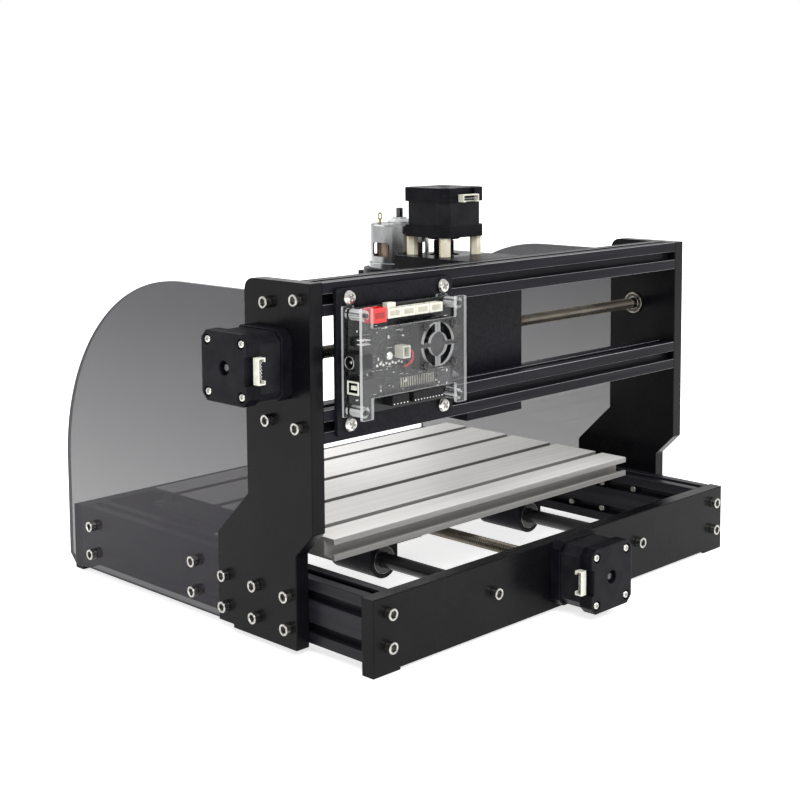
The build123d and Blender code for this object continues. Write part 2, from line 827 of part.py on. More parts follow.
# ---- x carriage and z axis ----------------------------------------------


def x_carriage():
    body = box_at(-CAR_HALF, CAR_HALF, CAR_FRONT, CAR_BACK, CAR_Z0, CAR_TOP)
    base_top = CAR_Z0 + BOTTOM_PLATE_T
    body += box_at(-CAR_HALF, CAR_HALF, PLATE_FRONT + BOTTOM_SETBACK, CAR_FRONT, CAR_Z0, base_top)
    for side in SIDES:
        rib = [(CAR_FRONT, base_top), (CAR_FRONT - RIB_D, base_top), (CAR_FRONT, base_top + RIB_H)]
        x = side * (CAR_HALF - RIB_T / 2)
        body += prism_x(rib, x - RIB_T / 2, x + RIB_T / 2)
    for z in X_ROD_ZS:
        body -= rod_x(-CAR_HALF, CAR_HALF, X_AXIS_Y, z, X_LIN_D)
    body -= rod_x(-CAR_HALF, -CAR_HALF + NUT_FLANGE_T, X_AXIS_Y, X_SCREW_Z, NUT_FLANGE_D)
    body -= rod_x(-CAR_HALF, -CAR_HALF + NUT_WALL, X_AXIS_Y, X_SCREW_Z, NUT_D)
    body -= rod_x(-CAR_HALF + NUT_WALL, CAR_HALF, X_AXIS_Y, X_SCREW_Z, TUNNEL_D)
    for side in SIDES:
        body -= rod_z(side * Z_ROD_X, Z_AXIS_Y, CAR_Z0 + ROD_COVER, base_top, Z_ROD_D)
    return body - rod_z(0, Z_AXIS_Y, CAR_Z0, base_top, SCREW_D + 2 * RUN_GAP)


def z_top_plate():
    plate = box_at(-CAR_HALF, CAR_HALF, PLATE_FRONT, CAR_FRONT, TOP_PLATE_Z0, CAR_TOP)
    plate -= rod_z(0, SPINDLE_Y, TOP_PLATE_Z0, CAR_TOP, SLEEVE_D + SLEEVE_CLEAR)
    plate -= rod_z(0, Z_AXIS_Y, TOP_PLATE_Z0, CAR_TOP, COUPLING_D + COUPLING_CLEAR)
    for side in SIDES:
        plate -= rod_z(side * Z_ROD_X, Z_AXIS_Y, TOP_PLATE_Z0, CAR_TOP - ROD_COVER, Z_ROD_D)
    return plate


def x_bearings():
    pieces = []
    for z in X_ROD_ZS:
        body = linear_bearing(X_LIN_L, X_LIN_D, X_ROD_D)
        pieces.append(facing((-X_LIN_L / 2, X_AXIS_Y, z), (1, 0, 0), body))
    return group(pieces)


def x_nut():
    return facing((-CAR_HALF, X_AXIS_Y, X_SCREW_Z), (1, 0, 0), lead_nut())


def z_rods():
    z0, z1 = CAR_Z0 + ROD_COVER, CAR_TOP - ROD_COVER
    return group([rod_z(side * Z_ROD_X, Z_AXIS_Y, z0, z1, Z_ROD_D) for side in SIDES])


def z_standoffs():
    post = extrude(RegularPolygon(STANDOFF_AF / sqrt(3), 6), amount=Z_MOTOR_Z - CAR_TOP)
    return group([Pos(x, Z_AXIS_Y + y, CAR_TOP) * post for x, y in motor_corners()])


def clamp_line():
    return SPINDLE_Y - RING_D / 2 - EAR_OUT / 2, (SLIDE_Z0 + RING_Z1) / 2


def spindle_holder():
    wide, deep = SLIDE_HALF_X, SLIDE_HALF_Y
    body = box_at(-wide, wide, Z_AXIS_Y - deep, Z_AXIS_Y + deep, SLIDE_Z0, SLIDE_Z1)
    body += box_at(-NECK_HALF_X, NECK_HALF_X, SPINDLE_Y, Z_AXIS_Y - deep, SLIDE_Z0, RING_Z1)
    body += rod_z(0, SPINDLE_Y, SLIDE_Z0, RING_Z1, RING_D)
    front = SPINDLE_Y - RING_D / 2 - EAR_OUT
    ear_z0, ear_z1 = SLIDE_Z0 + EAR_END, RING_Z1 - EAR_END
    body += box_at(-EAR_HALF_X, EAR_HALF_X, front, SPINDLE_Y, ear_z0, ear_z1)
    body -= box_at(-SPLIT_W / 2, SPLIT_W / 2, front, SPINDLE_Y, SLIDE_Z0, RING_Z1)
    body -= rod_z(0, SPINDLE_Y, SLIDE_Z0, RING_Z1, CAN_D)
    body -= rod_z(0, SPINDLE_Y, SLEEVE_Z0, RING_Z1, SLEEVE_D)
    body -= rod_z(0, Z_AXIS_Y, SLIDE_Z0, SLIDE_Z1, NUT_D)
    for side in SIDES:
        body -= rod_z(side * Z_ROD_X, Z_AXIS_Y, SLIDE_Z0, SLIDE_Z1, Z_LIN_D)
    y, z = clamp_line()
    return body - rod_x(-EAR_HALF_X, EAR_HALF_X, y, z, M5_D)


def z_bearings():
    pieces = []
    start = (SLIDE_Z0 + SLIDE_Z1 - Z_LIN_L) / 2
    for side in SIDES:
        body = linear_bearing(Z_LIN_L, Z_LIN_D, Z_ROD_D)
        pieces.append(Pos(side * Z_ROD_X, Z_AXIS_Y, start) * body)
    return group(pieces)


def z_nut():
    return facing((0, Z_AXIS_Y, SLIDE_Z1 + NUT_FLANGE_T), (0, 0, -1), lead_nut())


def clamp_screw():
    y, z = clamp_line()
    return facing((EAR_HALF_X, y, z), (1, 0, 0), socket_screw(2 * EAR_HALF_X))


# ---- spindle ------------------------------------------------------------


def spindle_motor():
    can = rod_z(0, SPINDLE_Y, CAN_Z0, CAN_Z1, CAN_D)
    can = fillet(can.edges().filter_by(GeomType.CIRCLE), CAN_EDGE_R)
    boss_top = CAN_Z1 + CAN_BOSS_T
    can += rod_z(0, SPINDLE_Y, CAN_Z1, boss_top, CAN_BOSS_D)
    can -= rod_z(0, SPINDLE_Y, CAN_Z0 + CAN_END_T, CAN_Z1 - CAN_END_T, CAN_D - 2 * CAN_WALL)
    can -= rod_z(0, SPINDLE_Y, CAN_Z0, boss_top, SHAFT_D + 2 * RUN_GAP)
    half = WINDOW_W / 2
    for turn in WINDOW_TURNS:
        window = box_at(WINDOW_START, CAN_D, -half, half, WINDOW_Z0, WINDOW_Z1)
        can -= Pos(0, SPINDLE_Y, 0) * Rot(0, 0, turn) * window
    sleeve = rod_z(0, SPINDLE_Y, SLEEVE_Z0, SLEEVE_Z1, SLEEVE_D)
    sleeve -= rod_z(0, SPINDLE_Y, SLEEVE_Z0, SLEEVE_Z1, CAN_D)
    return group([can, sleeve])


def spindle_terminals():
    wide, thick = TERMINAL_W / 2, TERMINAL_T / 2
    tabs = []
    for turn in TERMINAL_TURNS:
        tab = box_at(-wide, wide, -thick, thick, CAN_Z1, CAN_Z1 + TERMINAL_H)
        tab -= rod_y(0, -thick, thick, CAN_Z1 + TERMINAL_HOLE_H, TERMINAL_HOLE_D)
        tabs.append(Pos(0, SPINDLE_Y, 0) * Rot(0, 0, turn) * Pos(TERMINAL_R, 0, 0) * tab)
    return group(tabs)


def spindle_shaft():
    shaft = rod_z(0, SPINDLE_Y, CHUCK_Z1 - CHUCK_SOCKET, SHAFT_TOP, SHAFT_D)
    z0, z1 = CAN_Z0 + ARMATURE_FOOT, CAN_Z1 - ARMATURE_HEAD
    return shaft + rod_z(0, SPINDLE_Y, z0, z1, ARMATURE_D)


def collet_holder():
    body = rod_z(0, SPINDLE_Y, CHUCK_Z0 + NOSE_L, CHUCK_Z1, CHUCK_D)
    body += rod_z(0, SPINDLE_Y, CHUCK_Z0, CHUCK_Z0 + NOSE_L, NOSE_D)
    body -= rod_z(0, SPINDLE_Y, CHUCK_Z1 - CHUCK_SOCKET, CHUCK_Z1, SHAFT_D)
    return body - rod_z(0, SPINDLE_Y, CHUCK_Z0, CHUCK_Z0 + TOOL_DEPTH, TOOL_D)


def collet_nut():
    z0, z1 = CHUCK_Z0 + COLLET_NUT_LOW, CHUCK_Z0 + NOSE_L
    rim_top = CHUCK_Z0 + COLLET_RIM_H
    body = rod_z(0, SPINDLE_Y, z0, z1, COLLET_NUT_D)
    hexagon = extrude(RegularPolygon(COLLET_NUT_AF / sqrt(3), 6), amount=z1 - rim_top)
    rim = rod_z(0, SPINDLE_Y, z0, rim_top, COLLET_NUT_D)
    body &= Pos(0, SPINDLE_Y, rim_top) * hexagon + rim
    lower = body.edges().group_by(Axis.Z)[0].filter_by(GeomType.CIRCLE)
    return chamfer(lower, COLLET_BEVEL) - rod_z(0, SPINDLE_Y, CHUCK_Z0, z1, NOSE_D)


# ---- controller ---------------------------------------------------------


def controller_plate():
    plate = box_at(BACK_X0, BACK_X1, BEAM_FACE, BEAM_FACE + BACK_T, BACK_Z0, BACK_Z1)
    plate = fillet(plate.edges().filter_by(Axis.Y), BACK_CORNER_R)
    for x in plate_screw_xs():
        for z in BEAM_ZS:
            plate -= rod_y(x, BEAM_FACE, BEAM_FACE + BACK_T, z, M5_D)
    return plate


def case_outline():
    x0, x1, z0, z1 = CASE_X0, CASE_X1, CASE_Z0, CASE_Z1
    tab, notch = CASE_TAB, CASE_NOTCH
    return [
        (x0, z0),
        (x0 + tab, z0),
        (x0 + tab, z0 + notch),
        (x1 - tab, z0 + notch),
        (x1 - tab, z0),
        (x1, z0),
        (x1, z1),
        (x1 - tab, z1),
        (x1 - tab, z1 - notch),
        (x0 + tab, z1 - notch),
        (x0 + tab, z1),
        (x0, z1),
    ]


def fan_grille():
    y0, y1 = CASE_FRONT_Y, CASE_FRONT_Y + CASE_FRONT_T
    ring = rod_y(FAN_X, y0, y1, FAN_Z, GRILLE_D) - rod_y(FAN_X, y0, y1, FAN_Z, GRILLE_HUB_D)
    reach, bar = GRILLE_D / 2, GRILLE_BAR_W / 2
    ring -= box_at(FAN_X - reach, FAN_X + reach, y0, y1, FAN_Z - bar, FAN_Z + bar)
    return ring - box_at(FAN_X - bar, FAN_X + bar, y0, y1, FAN_Z - reach, FAN_Z + reach)


def fan_screw_points():
    half = FAN_PITCH / 2
    return [(FAN_X + x * half, FAN_Z + z * half) for x in SIDES for z in SIDES]


def clear_case_plates():
    y0 = BEAM_FACE + BACK_T
    back = prism_y(case_outline(), y0, y0 + CASE_PLATE_T)
    front = prism_y(case_outline(), CASE_FRONT_Y, CASE_FRONT_Y + CASE_FRONT_T) - fan_grille()
    for x, z in fan_screw_points():
        front -= rod_y(x, CASE_FRONT_Y, CASE_FRONT_Y + CASE_FRONT_T, z, M3_D)
    return group([back, front])


def case_corner_points():
    half = CASE_TAB / 2
    xs = (CASE_X0 + half, CASE_X1 - half)
    zs = (CASE_Z0 + half, CASE_Z1 - half)
    return [(x, z) for x in xs for z in zs]


def spacers():
    pieces = []
    thick = PANEL_IN - RAIL_OUT
    y0 = BEAM_FACE + BACK_T + CASE_PLATE_T
    for x, z in case_corner_points():
        pieces.append(rod_y(x, y0, BOARD_Y, z, SPACER_D))
        pieces.append(rod_y(x, BOARD_Y + BOARD_T, CASE_FRONT_Y, z, SPACER_D))
    for side in SIDES:
        for y in PANEL_SCREW_YS:
            for z in base_screw_zs():
                washer = rod((side * RAIL_OUT, y, z), (side, 0, 0), thick, WASHER_D)
                hole = rod((side * RAIL_OUT, y, z), (side, 0, 0), thick, M5_D)
                pieces.append(washer - hole)
    return group(pieces)


def circuit_board():
    x0, x1 = CASE_X0 + BOARD_INSET, CASE_X1 - BOARD_INSET
    z0, z1 = CASE_Z0 + BOARD_INSET, CASE_Z1 - BOARD_INSET
    return box_at(x0, x1, BOARD_Y, BOARD_Y + BOARD_T, z0, z1)


def on_board(area, up0, up1):
    face = BOARD_Y + BOARD_T
    x0, x1, z0, z1 = area
    return box_at(x0, x1, face + up0, face + up1, z0, z1)


def usb_socket():
    return on_board(USB_BOX, 0, USB_H) - on_board(USB_MOUTH, USB_SHELL, USB_H - USB_SHELL)


def power_socket():
    y = BOARD_Y + BOARD_T + INLET_BORE_UP
    bore = rod_x(INLET_BORE_X0, INLET_BOX[1], y, INLET_Z, INLET_BORE_D)
    return on_board(INLET_BOX, 0, INLET_H) - bore


def motor_ways():
    z0, z1 = WAY_ZS
    ways = []
    for index in range(WAY_COUNT):
        x0 = WAY_X0 + WAY_PITCH * index
        x1 = x0 + WAY_W
        body = on_board((x0, x1, z0, z1), 0, WAY_H)
        ways.append(body - on_board((x0 + WALL, x1 - WALL, z0 + WAY_FLOOR, z1), WALL, WAY_H - WALL))
    return ways


def low_sockets():
    z0, z1 = LOW_ZS
    sockets = []
    for x0, width in LOW_SOCKETS:
        x1 = x0 + width
        body = on_board((x0, x1, z0, z1), 0, LOW_H)
        sockets.append(body - on_board((x0 + WALL, x1 - WALL, z0, z1 - LOW_WALL), WALL, LOW_H - WALL))
    return sockets


def heat_sinks():
    z0, z1 = FAN_Z - SINK_HALF, FAN_Z + SINK_HALF
    xs = (FAN_X - SINK_STEP, FAN_X, FAN_X + SINK_STEP)
    return [on_board((x - SINK_HALF, x + SINK_HALF, z0, z1), 0, SINK_H) for x in xs]


def board_parts():
    pieces = [usb_socket(), power_socket()] + motor_ways() + low_sockets() + heat_sinks()
    pieces.append(on_board(TERMINAL_BLOCK, 0, TERMINAL_BLOCK_H))
    pieces.append(on_board(HEADER_BLOCK, 0, HEADER_BLOCK_H))
    face = BOARD_Y + BOARD_T
    pieces.append(rod_y(CAPACITOR[0], face, face + CAPACITOR_H, CAPACITOR[1], CAPACITOR_D))
    return group(pieces)


def fan_frame():
    y0 = CASE_FRONT_Y - FAN_T
    half = FAN_W / 2
    body = box_at(FAN_X - half, FAN_X + half, y0, CASE_FRONT_Y, FAN_Z - half, FAN_Z + half)
    body = fillet(body.edges().filter_by(Axis.Y), FAN_CORNER_R)
    body -= rod_y(FAN_X, y0, CASE_FRONT_Y, FAN_Z, FAN_BORE)
    spider = rod_y(FAN_X, y0, y0 + ARM_T, FAN_Z, FAN_HUB_D)
    for turn in ARM_TURNS:
        arm = box_at(0, ARM_L, -ARM_W / 2, ARM_W / 2, 0, ARM_T)
        plane = Plane(origin=(FAN_X, y0 + ARM_T, FAN_Z), x_dir=(1, 0, 0), z_dir=(0, -1, 0))
        spider += plane * (Rot(0, 0, turn) * arm)
    body += spider
    for x, z in fan_screw_points():
        body -= rod_y(x, y0, CASE_FRONT_Y, z, M3_D)
    return body


def fan_rotor():
    y0 = CASE_FRONT_Y - FAN_T + ROTOR_START
    body = rod_z(0, 0, 0, ROTOR_T, FAN_HUB_D)
    blade = Rot(BLADE_TILT, 0, 0) * Box(BLADE_L, BLADE_T, ROTOR_T)
    for index in range(FAN_BLADES):
        body += Rot(0, 0, index * 360 / FAN_BLADES) * Pos(BLADE_R, 0, ROTOR_T / 2) * blade
    plane = Plane(origin=(FAN_X, y0, FAN_Z), x_dir=(1, 0, 0), z_dir=(0, 1, 0))
    return plane * (body & rod_z(0, 0, 0, ROTOR_T, FAN_SWEEP_D))


# ---- fasteners ----------------------------------------------------------


def base_screws():
    pieces = []
    for side in SIDES:
        for end in SIDES:
            for z in base_screw_zs():
                point = (side * rail_centre(), end * BASE_HALF_LEN, z)
                pieces.append(facing(point, (0, end, 0), socket_screw(END_PLATE_T)))
            point = (side * Y_ROD_X, end * BASE_HALF_LEN, AXIS_Z)
            pieces.append(facing(point, (0, end, 0), socket_screw(END_PLATE_T + ROD_TAP)))
    return pieces


def gantry_screws():
    pieces = []
    thick = GANTRY_OUT - GANTRY_IN
    for side in SIDES:
        for y in FOOT_SCREW_YS:
            for z in base_screw_zs():
                screw = socket_screw(thick + PROFILE - SHANK_GAP)
                pieces.append(facing((side * GANTRY_OUT, y, z), (side, 0, 0), screw))
        for z in BEAM_ZS:
            point = (side * GANTRY_OUT, BEAM_Y, z)
            pieces.append(facing(point, (side, 0, 0), socket_screw(thick)))
        for z in X_ROD_ZS:
            point = (side * GANTRY_OUT, X_AXIS_Y, z)
            pieces.append(facing(point, (side, 0, 0), socket_screw(thick + ROD_TAP)))
    return pieces


def controller_screws():
    pieces = []
    for x in plate_screw_xs():
        for z in BEAM_ZS:
            point = (x, BEAM_FACE + BACK_T, z)
            pieces.append(facing(point, (0, 1, 0), pan_screw(BACK_T + BACK_SCREW_IN)))
    return pieces


def frame_screws():
    covers = [on_x_motor(s) for s in motor_cover_screws()]
    covers += [on_y_motor(s) for s in motor_cover_screws()]
    return group(base_screws() + gantry_screws() + panel_screws() + controller_screws() + covers)


def panel_screws():
    pieces = []
    for side in SIDES:
        for y in PANEL_SCREW_YS:
            for z in base_screw_zs():
                screw = socket_screw(PANEL_OUT - RAIL_IN - SHANK_GAP)
                pieces.append(facing((side * PANEL_OUT, y, z), (side, 0, 0), screw))
    return pieces


def fan_screws():
    pieces = []
    length = FAN_T + CASE_FRONT_T - FAN_SCREW_SHORT
    for x, z in fan_screw_points():
        screw = pan_screw(length, head_d=FAN_HEAD_D, head_t=FAN_HEAD_T, shank_d=M3_D)
        point = (x, CASE_FRONT_Y + CASE_FRONT_T, z)
        pieces.append(facing(point, (0, 1, 0), screw))
    return group(pieces)


def motor_sockets():
    return group([on_x_motor(motor_socket()), on_y_motor(motor_socket())])


def screw_bearings():
    left = (-GANTRY_IN - BEARING_W + BEARING_PROUD, X_AXIS_Y, X_SCREW_Z)
    front = (0, -BASE_HALF_LEN + END_PLATE_T - BEARING_W + BEARING_PROUD, AXIS_Z)
    x_ring = facing(left, (1, 0, 0), ring_bearing())
    return group([x_ring, facing(front, (0, 1, 0), ring_bearing())])


save("front_plate", front_plate())
save("rear_plate", rear_plate())
save("left_rail", base_rail(-1))
save("right_rail", base_rail(1))
save("left_y_rod", y_rod(-1))
save("right_y_rod", y_rod(1))
save("left_gantry_plate", left_gantry_plate())
save("right_gantry_plate", right_gantry_plate())
save("lower_beam", beam(BEAM_ZS[0]))
save("upper_beam", beam(BEAM_ZS[1]))
save("x_rods", group([x_rod(z) for z in X_ROD_ZS]))
save("left_side_panel", side_panel(-1))
save("right_side_panel", side_panel(1))
save("x_motor_end_caps", on_x_motor(motor_end_caps()))
save("x_motor_stator", on_x_motor(motor_stator()))
save("x_motor_shaft", on_x_motor(motor_shaft()))
save("y_motor_end_caps", on_y_motor(motor_end_caps()))
save("y_motor_stator", on_y_motor(motor_stator()))
save("y_motor_shaft", on_y_motor(motor_shaft()))
save("z_motor_end_caps", on_z_motor(motor_end_caps()))
save("z_motor_stator", on_z_motor(motor_stator()))
save("z_motor_shaft", on_z_motor(motor_shaft()))
save("motor_sockets", motor_sockets())
save("z_motor_socket", on_z_motor(motor_socket()))
save("screw_bearings", screw_bearings())
save("frame_screws", frame_screws())
save("fan_screws", fan_screws())
save("spacers", spacers())
save("work_table", work_table())
save("table_bearing_holders", table_bearing_holders())
save("table_bearings", table_bearings())
save("y_nut_bracket", y_nut_bracket())
save("y_nut", y_nut())
save("x_carriage", x_carriage())
save("x_bearings", x_bearings())
save("x_nut", x_nut())
save("z_top_plate", z_top_plate())
save("z_rods", z_rods())
save("z_standoffs", z_standoffs())
save("spindle_holder", spindle_holder())
save("clamp_screw", clamp_screw())
save("z_bearings", z_bearings())
save("z_nut", z_nut())
save("spindle_motor", spindle_motor())
save("spindle_terminals", spindle_terminals())
save("spindle_shaft", spindle_shaft())
save("collet_holder", collet_holder())
save("collet_nut", collet_nut())
save("controller_plate", controller_plate())
save("clear_case_plates", clear_case_plates())
save("circuit_board", circuit_board())
save("board_parts", board_parts())
save("fan_frame", fan_frame())
save("fan_rotor", fan_rotor())

x_coupling, x_screw = x_drive()
y_coupling, y_screw = y_drive()
z_coupling, z_screw = z_drive()
save("x_coupling", x_coupling)
save("x_lead_screw", x_screw)
save("y_coupling", y_coupling)
save("y_lead_screw", y_screw)
save("z_coupling", z_coupling)
save("z_lead_screw", z_screw)
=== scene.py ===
import bpy
import bmesh
import random
from math import asin, cos, degrees, hypot, pi, radians, sin, sqrt, tan
from mathutils import Matrix, Vector


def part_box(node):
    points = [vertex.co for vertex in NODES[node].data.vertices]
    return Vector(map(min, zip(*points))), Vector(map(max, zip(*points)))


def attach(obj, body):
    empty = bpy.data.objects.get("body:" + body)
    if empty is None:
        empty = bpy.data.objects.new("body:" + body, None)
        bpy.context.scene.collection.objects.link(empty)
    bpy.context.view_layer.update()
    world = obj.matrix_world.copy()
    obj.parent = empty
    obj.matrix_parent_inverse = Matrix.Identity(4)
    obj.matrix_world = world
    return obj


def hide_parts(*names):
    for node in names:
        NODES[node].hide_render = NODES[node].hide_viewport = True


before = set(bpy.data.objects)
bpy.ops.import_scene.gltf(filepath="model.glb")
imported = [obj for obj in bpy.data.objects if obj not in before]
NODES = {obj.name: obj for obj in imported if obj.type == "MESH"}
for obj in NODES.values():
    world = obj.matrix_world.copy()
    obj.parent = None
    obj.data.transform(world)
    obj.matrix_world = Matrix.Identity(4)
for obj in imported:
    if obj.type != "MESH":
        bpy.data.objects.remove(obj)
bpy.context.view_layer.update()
MM = 0.001
SIDES = (-1, 1)
CORNERS = [(x, y) for x in SIDES for y in SIDES]
X_DIR, Y_DIR, Z_DIR = (1, 0, 0), (0, 1, 0), (0, 0, 1)
BACKWARD = (0, -1, 0)
rng = random.Random(7)


# Meshes, drawn in millimetres


def at(x=0.0, y=0.0, z=0.0):
    return Matrix.Translation((x, y, z))


def aim(point, direction, spin=0.0):
    d = Vector(direction).normalized()
    turn = d.to_track_quat("Z", "Y").to_matrix().to_4x4()
    return at(*point) @ turn @ Matrix.Rotation(radians(spin), 4, "Z")


def axes(point, x_dir, z_dir):
    x = Vector(x_dir).normalized()
    z = Vector(z_dir).normalized()
    y = z.cross(x)
    m = Matrix((x, y, z)).transposed().to_4x4()
    return at(*point) @ m


def upright(y, x=0, z=0):
    """Places a plate drawn in X, Z so that it runs from y towards -Y."""
    return axes((x, y, z), X_DIR, BACKWARD)


def sideways(x, y=0, z=0):
    """Places a plate drawn in Y, Z so that it runs from x towards +X."""
    return axes((x, y, z), Y_DIR, X_DIR)


def circle(cx, cy, r, n=40):
    step = 2 * pi / n
    return [(cx + r * cos(step * i), cy + r * sin(step * i)) for i in range(n)]


def polar(r, turn):
    a = radians(turn)
    return r * cos(a), r * sin(a)


def spun(turn):
    return Matrix.Rotation(radians(turn), 4, "Z")


def rect(x0, x1, y0, y1):
    return [(x0, y0), (x1, y0), (x1, y1), (x0, y1)]


def rounded(points, radius, steps=4):
    """Round each corner of a polygon; radius is one number or one per corner."""
    out = []
    count = len(points)
    for i, p in enumerate(points):
        r = radius[i] if isinstance(radius, (list, tuple)) else radius
        p = Vector(p)
        a = Vector(points[i - 1]) - p
        b = Vector(points[(i + 1) % count]) - p
        if r <= 0:
            out.append(tuple(p))
            continue
        angle = a.angle(b)
        cut = min(r / tan(angle / 2), a.length * 0.49, b.length * 0.49)
        start = p + a.normalized() * cut
        end = p + b.normalized() * cut
        for k in range(steps + 1):
            t = k / steps
            q = start * (1 - t) ** 2 + p * 2 * t * (1 - t) + end * t**2
            out.append((q.x, q.y))
    return out


def curve_mesh(curve):
    holder = bpy.data.objects.new("curve", curve)
    mesh = bpy.data.meshes.new_from_object(holder)
    bpy.data.objects.remove(holder)
    bpy.data.curves.remove(curve)
    return mesh


def flat_solid(outline, thick, holes=(), bevel=0.4, steps=2):
    """A plate from z = 0 to thick, with softened edges, as a mesh."""
    curve = bpy.data.curves.new("plate", "CURVE")
    curve.dimensions = "2D"
    curve.fill_mode = "BOTH"
    curve.extrude = thick / 2 - bevel
    curve.bevel_depth = bevel
    curve.bevel_resolution = steps - 1
    curve.offset = -bevel
    for loop in [outline, *holes]:
        spline = curve.splines.new("POLY")
        spline.points.add(len(loop) - 1)
        for point, xy in zip(spline.points, loop):
            point.co = (xy[0], xy[1], 0, 1)
        spline.use_cyclic_u = True
    mesh = curve_mesh(curve)
    mesh.transform(at(0, 0, thick / 2))
    bm = bmesh.new()
    bm.from_mesh(mesh)
    bmesh.ops.remove_doubles(bm, verts=bm.verts, dist=1e-4)
    bmesh.ops.recalc_face_normals(bm, faces=bm.faces)
    bm.to_mesh(mesh)
    bm.free()
    return mesh


def lathe(profile, n=48, closed=False):
    """Turn (radius, height) points about Z. A closed profile makes a ring."""
    bm = bmesh.new()
    rings = []
    for r, z in profile:
        if r < 1e-6:
            rings.append([bm.verts.new((0, 0, z))])
            continue
        rings.append([bm.verts.new((x, y, z)) for x, y in circle(0, 0, r, n)])
    pairs = list(zip(rings, rings[1:]))
    if closed:
        pairs.append((rings[-1], rings[0]))
    for a, b in pairs:
        for i in range(n):
            j = (i + 1) % n
            if len(a) == 1 and len(b) == 1:
                continue
            if len(a) == 1:
                bm.faces.new((a[0], b[i], b[j]))
            elif len(b) == 1:
                bm.faces.new((a[i], a[j], b[0]))
            else:
                bm.faces.new((a[i], a[j], b[j], b[i]))
    bmesh.ops.recalc_face_normals(bm, faces=bm.faces)
    return take(bm)


def take(bm):
    mesh = bpy.data.meshes.new("part")
    bm.to_mesh(mesh)
    bm.free()
    return mesh


def block(x0, x1, y0, y1, z0, z1, bevel=0.3):
    bm = bmesh.new()
    bmesh.ops.create_cube(bm, size=1)
    size = Matrix.Diagonal((x1 - x0, y1 - y0, z1 - z0, 1))
    centre = at((x0 + x1) / 2, (y0 + y1) / 2, (z0 + z1) / 2)
    bmesh.ops.transform(bm, matrix=centre @ size, verts=bm.verts)
    if bevel > 0:
        bmesh.ops.bevel(bm, geom=bm.edges[:], offset=bevel, segments=2, affect="EDGES", profile=0.5)
    return take(bm)


def shaft(length, diameter, edge=0.5, n=40):
    r = diameter / 2
    low = [(0, 0), (r - edge, 0), (r, edge)]
    return lathe(low + [(r, length - edge), (r - edge, length), (0, length)], n)


def tube(length, outer, inner, edge=0.3, n=48):
    a, b = outer / 2, inner / 2
    e = edge
    pts = [(b, e), (b + e, 0), (a - e, 0), (a, e)]
    pts += [(a, length - e), (a - e, length), (b + e, length), (b, length - e)]
    return lathe(pts, n, closed=True)


def threaded(length, major, minor, pitch, starts=1, n=24):
    """A rod with a trapezoid thread, from z = 0 to length."""
    lead = pitch * starts
    shape = [(0.0, minor), (0.18, minor), (0.34, major), (0.66, major), (0.82, minor)]
    turns = int((length - 2 * lead) / pitch)
    rows = []
    for k in range(turns):
        rows += [(lead / 2 + (k + t) * pitch, d / 2) for t, d in shape[:-1]]
    per_lead = (len(shape) - 1) * starts
    bm = bmesh.new()
    grid = []
    for z, r in rows:
        ring = []
        for i in range(n):
            turn = 2 * pi * i / n
            ring.append(bm.verts.new((r * cos(turn), r * sin(turn), z + lead * i / n)))
        grid.append(ring)
    for k in range(len(grid) - 1):
        for i in range(n - 1):
            bm.faces.new((grid[k][i], grid[k][i + 1], grid[k + 1][i + 1], grid[k + 1][i]))
        if k + per_lead + 1 < len(grid):
            a, b = grid[k + per_lead], grid[k + per_lead + 1]
            bm.faces.new((grid[k][n - 1], a[0], b[0], grid[k + 1][n - 1]))
    body = take(bm)
    core = shaft(length, minor - 0.02, 0.4, n)
    ends = [(core, at()), (shaft(2.2 * lead, major, 0.5, n), at())]
    ends.append((shaft(2.2 * lead, major, 0.5, n), at(0, 0, length - 2.2 * lead)))
    return [(body, at())] + ends


def put(obj):
    bpy.context.scene.collection.objects.link(obj)


class Piece:
    """Meshes in millimetres gathered into one named object with its materials."""

    def __init__(self, name):
        self.name = name
        self.bm = bmesh.new()
        self.mats = []

    def add(self, mesh, where, mat):
        if mat not in self.mats:
            self.mats.append(mat)
        index = self.mats.index(mat)
        extra = bmesh.new()
        extra.from_mesh(mesh)
        bmesh.ops.transform(extra, matrix=where, verts=extra.verts)
        for face in extra.faces:
            face.material_index = index
        joined = bpy.data.meshes.new("join")
        extra.to_mesh(joined)
        extra.free()
        self.bm.from_mesh(joined)
        bpy.data.meshes.remove(joined)
        return self

    def crease(self, limit_degrees):
        """Keep big flat faces flat: only like-sized, gently turning faces blend."""
        for face in self.bm.faces:
            face.smooth = True
        limit = radians(limit_degrees)
        for edge in self.bm.edges:
            if len(edge.link_faces) != 2:
                continue
            a, b = edge.link_faces
            turn = edge.calc_face_angle(0)
            small, big = sorted((a.calc_area(), b.calc_area()))
            uneven = len(a.verts) != len(b.verts) or big > 4 * small
            edge.smooth = turn < 0.05 or (turn < limit and not uneven)

    def done(self, body, slot, *nodes, smooth=32):
        self.crease(smooth)
        bmesh.ops.transform(self.bm, matrix=Matrix.Scale(MM, 4), verts=self.bm.verts)
        mesh = bpy.data.meshes.new(self.name)
        self.bm.to_mesh(mesh)
        self.bm.free()
        for mat in self.mats:
            mesh.materials.append(mat)
        obj = bpy.data.objects.new(self.name, mesh)
        put(obj)
        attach(obj, body)
        if nodes:
            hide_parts(*nodes)
        return obj


# Materials


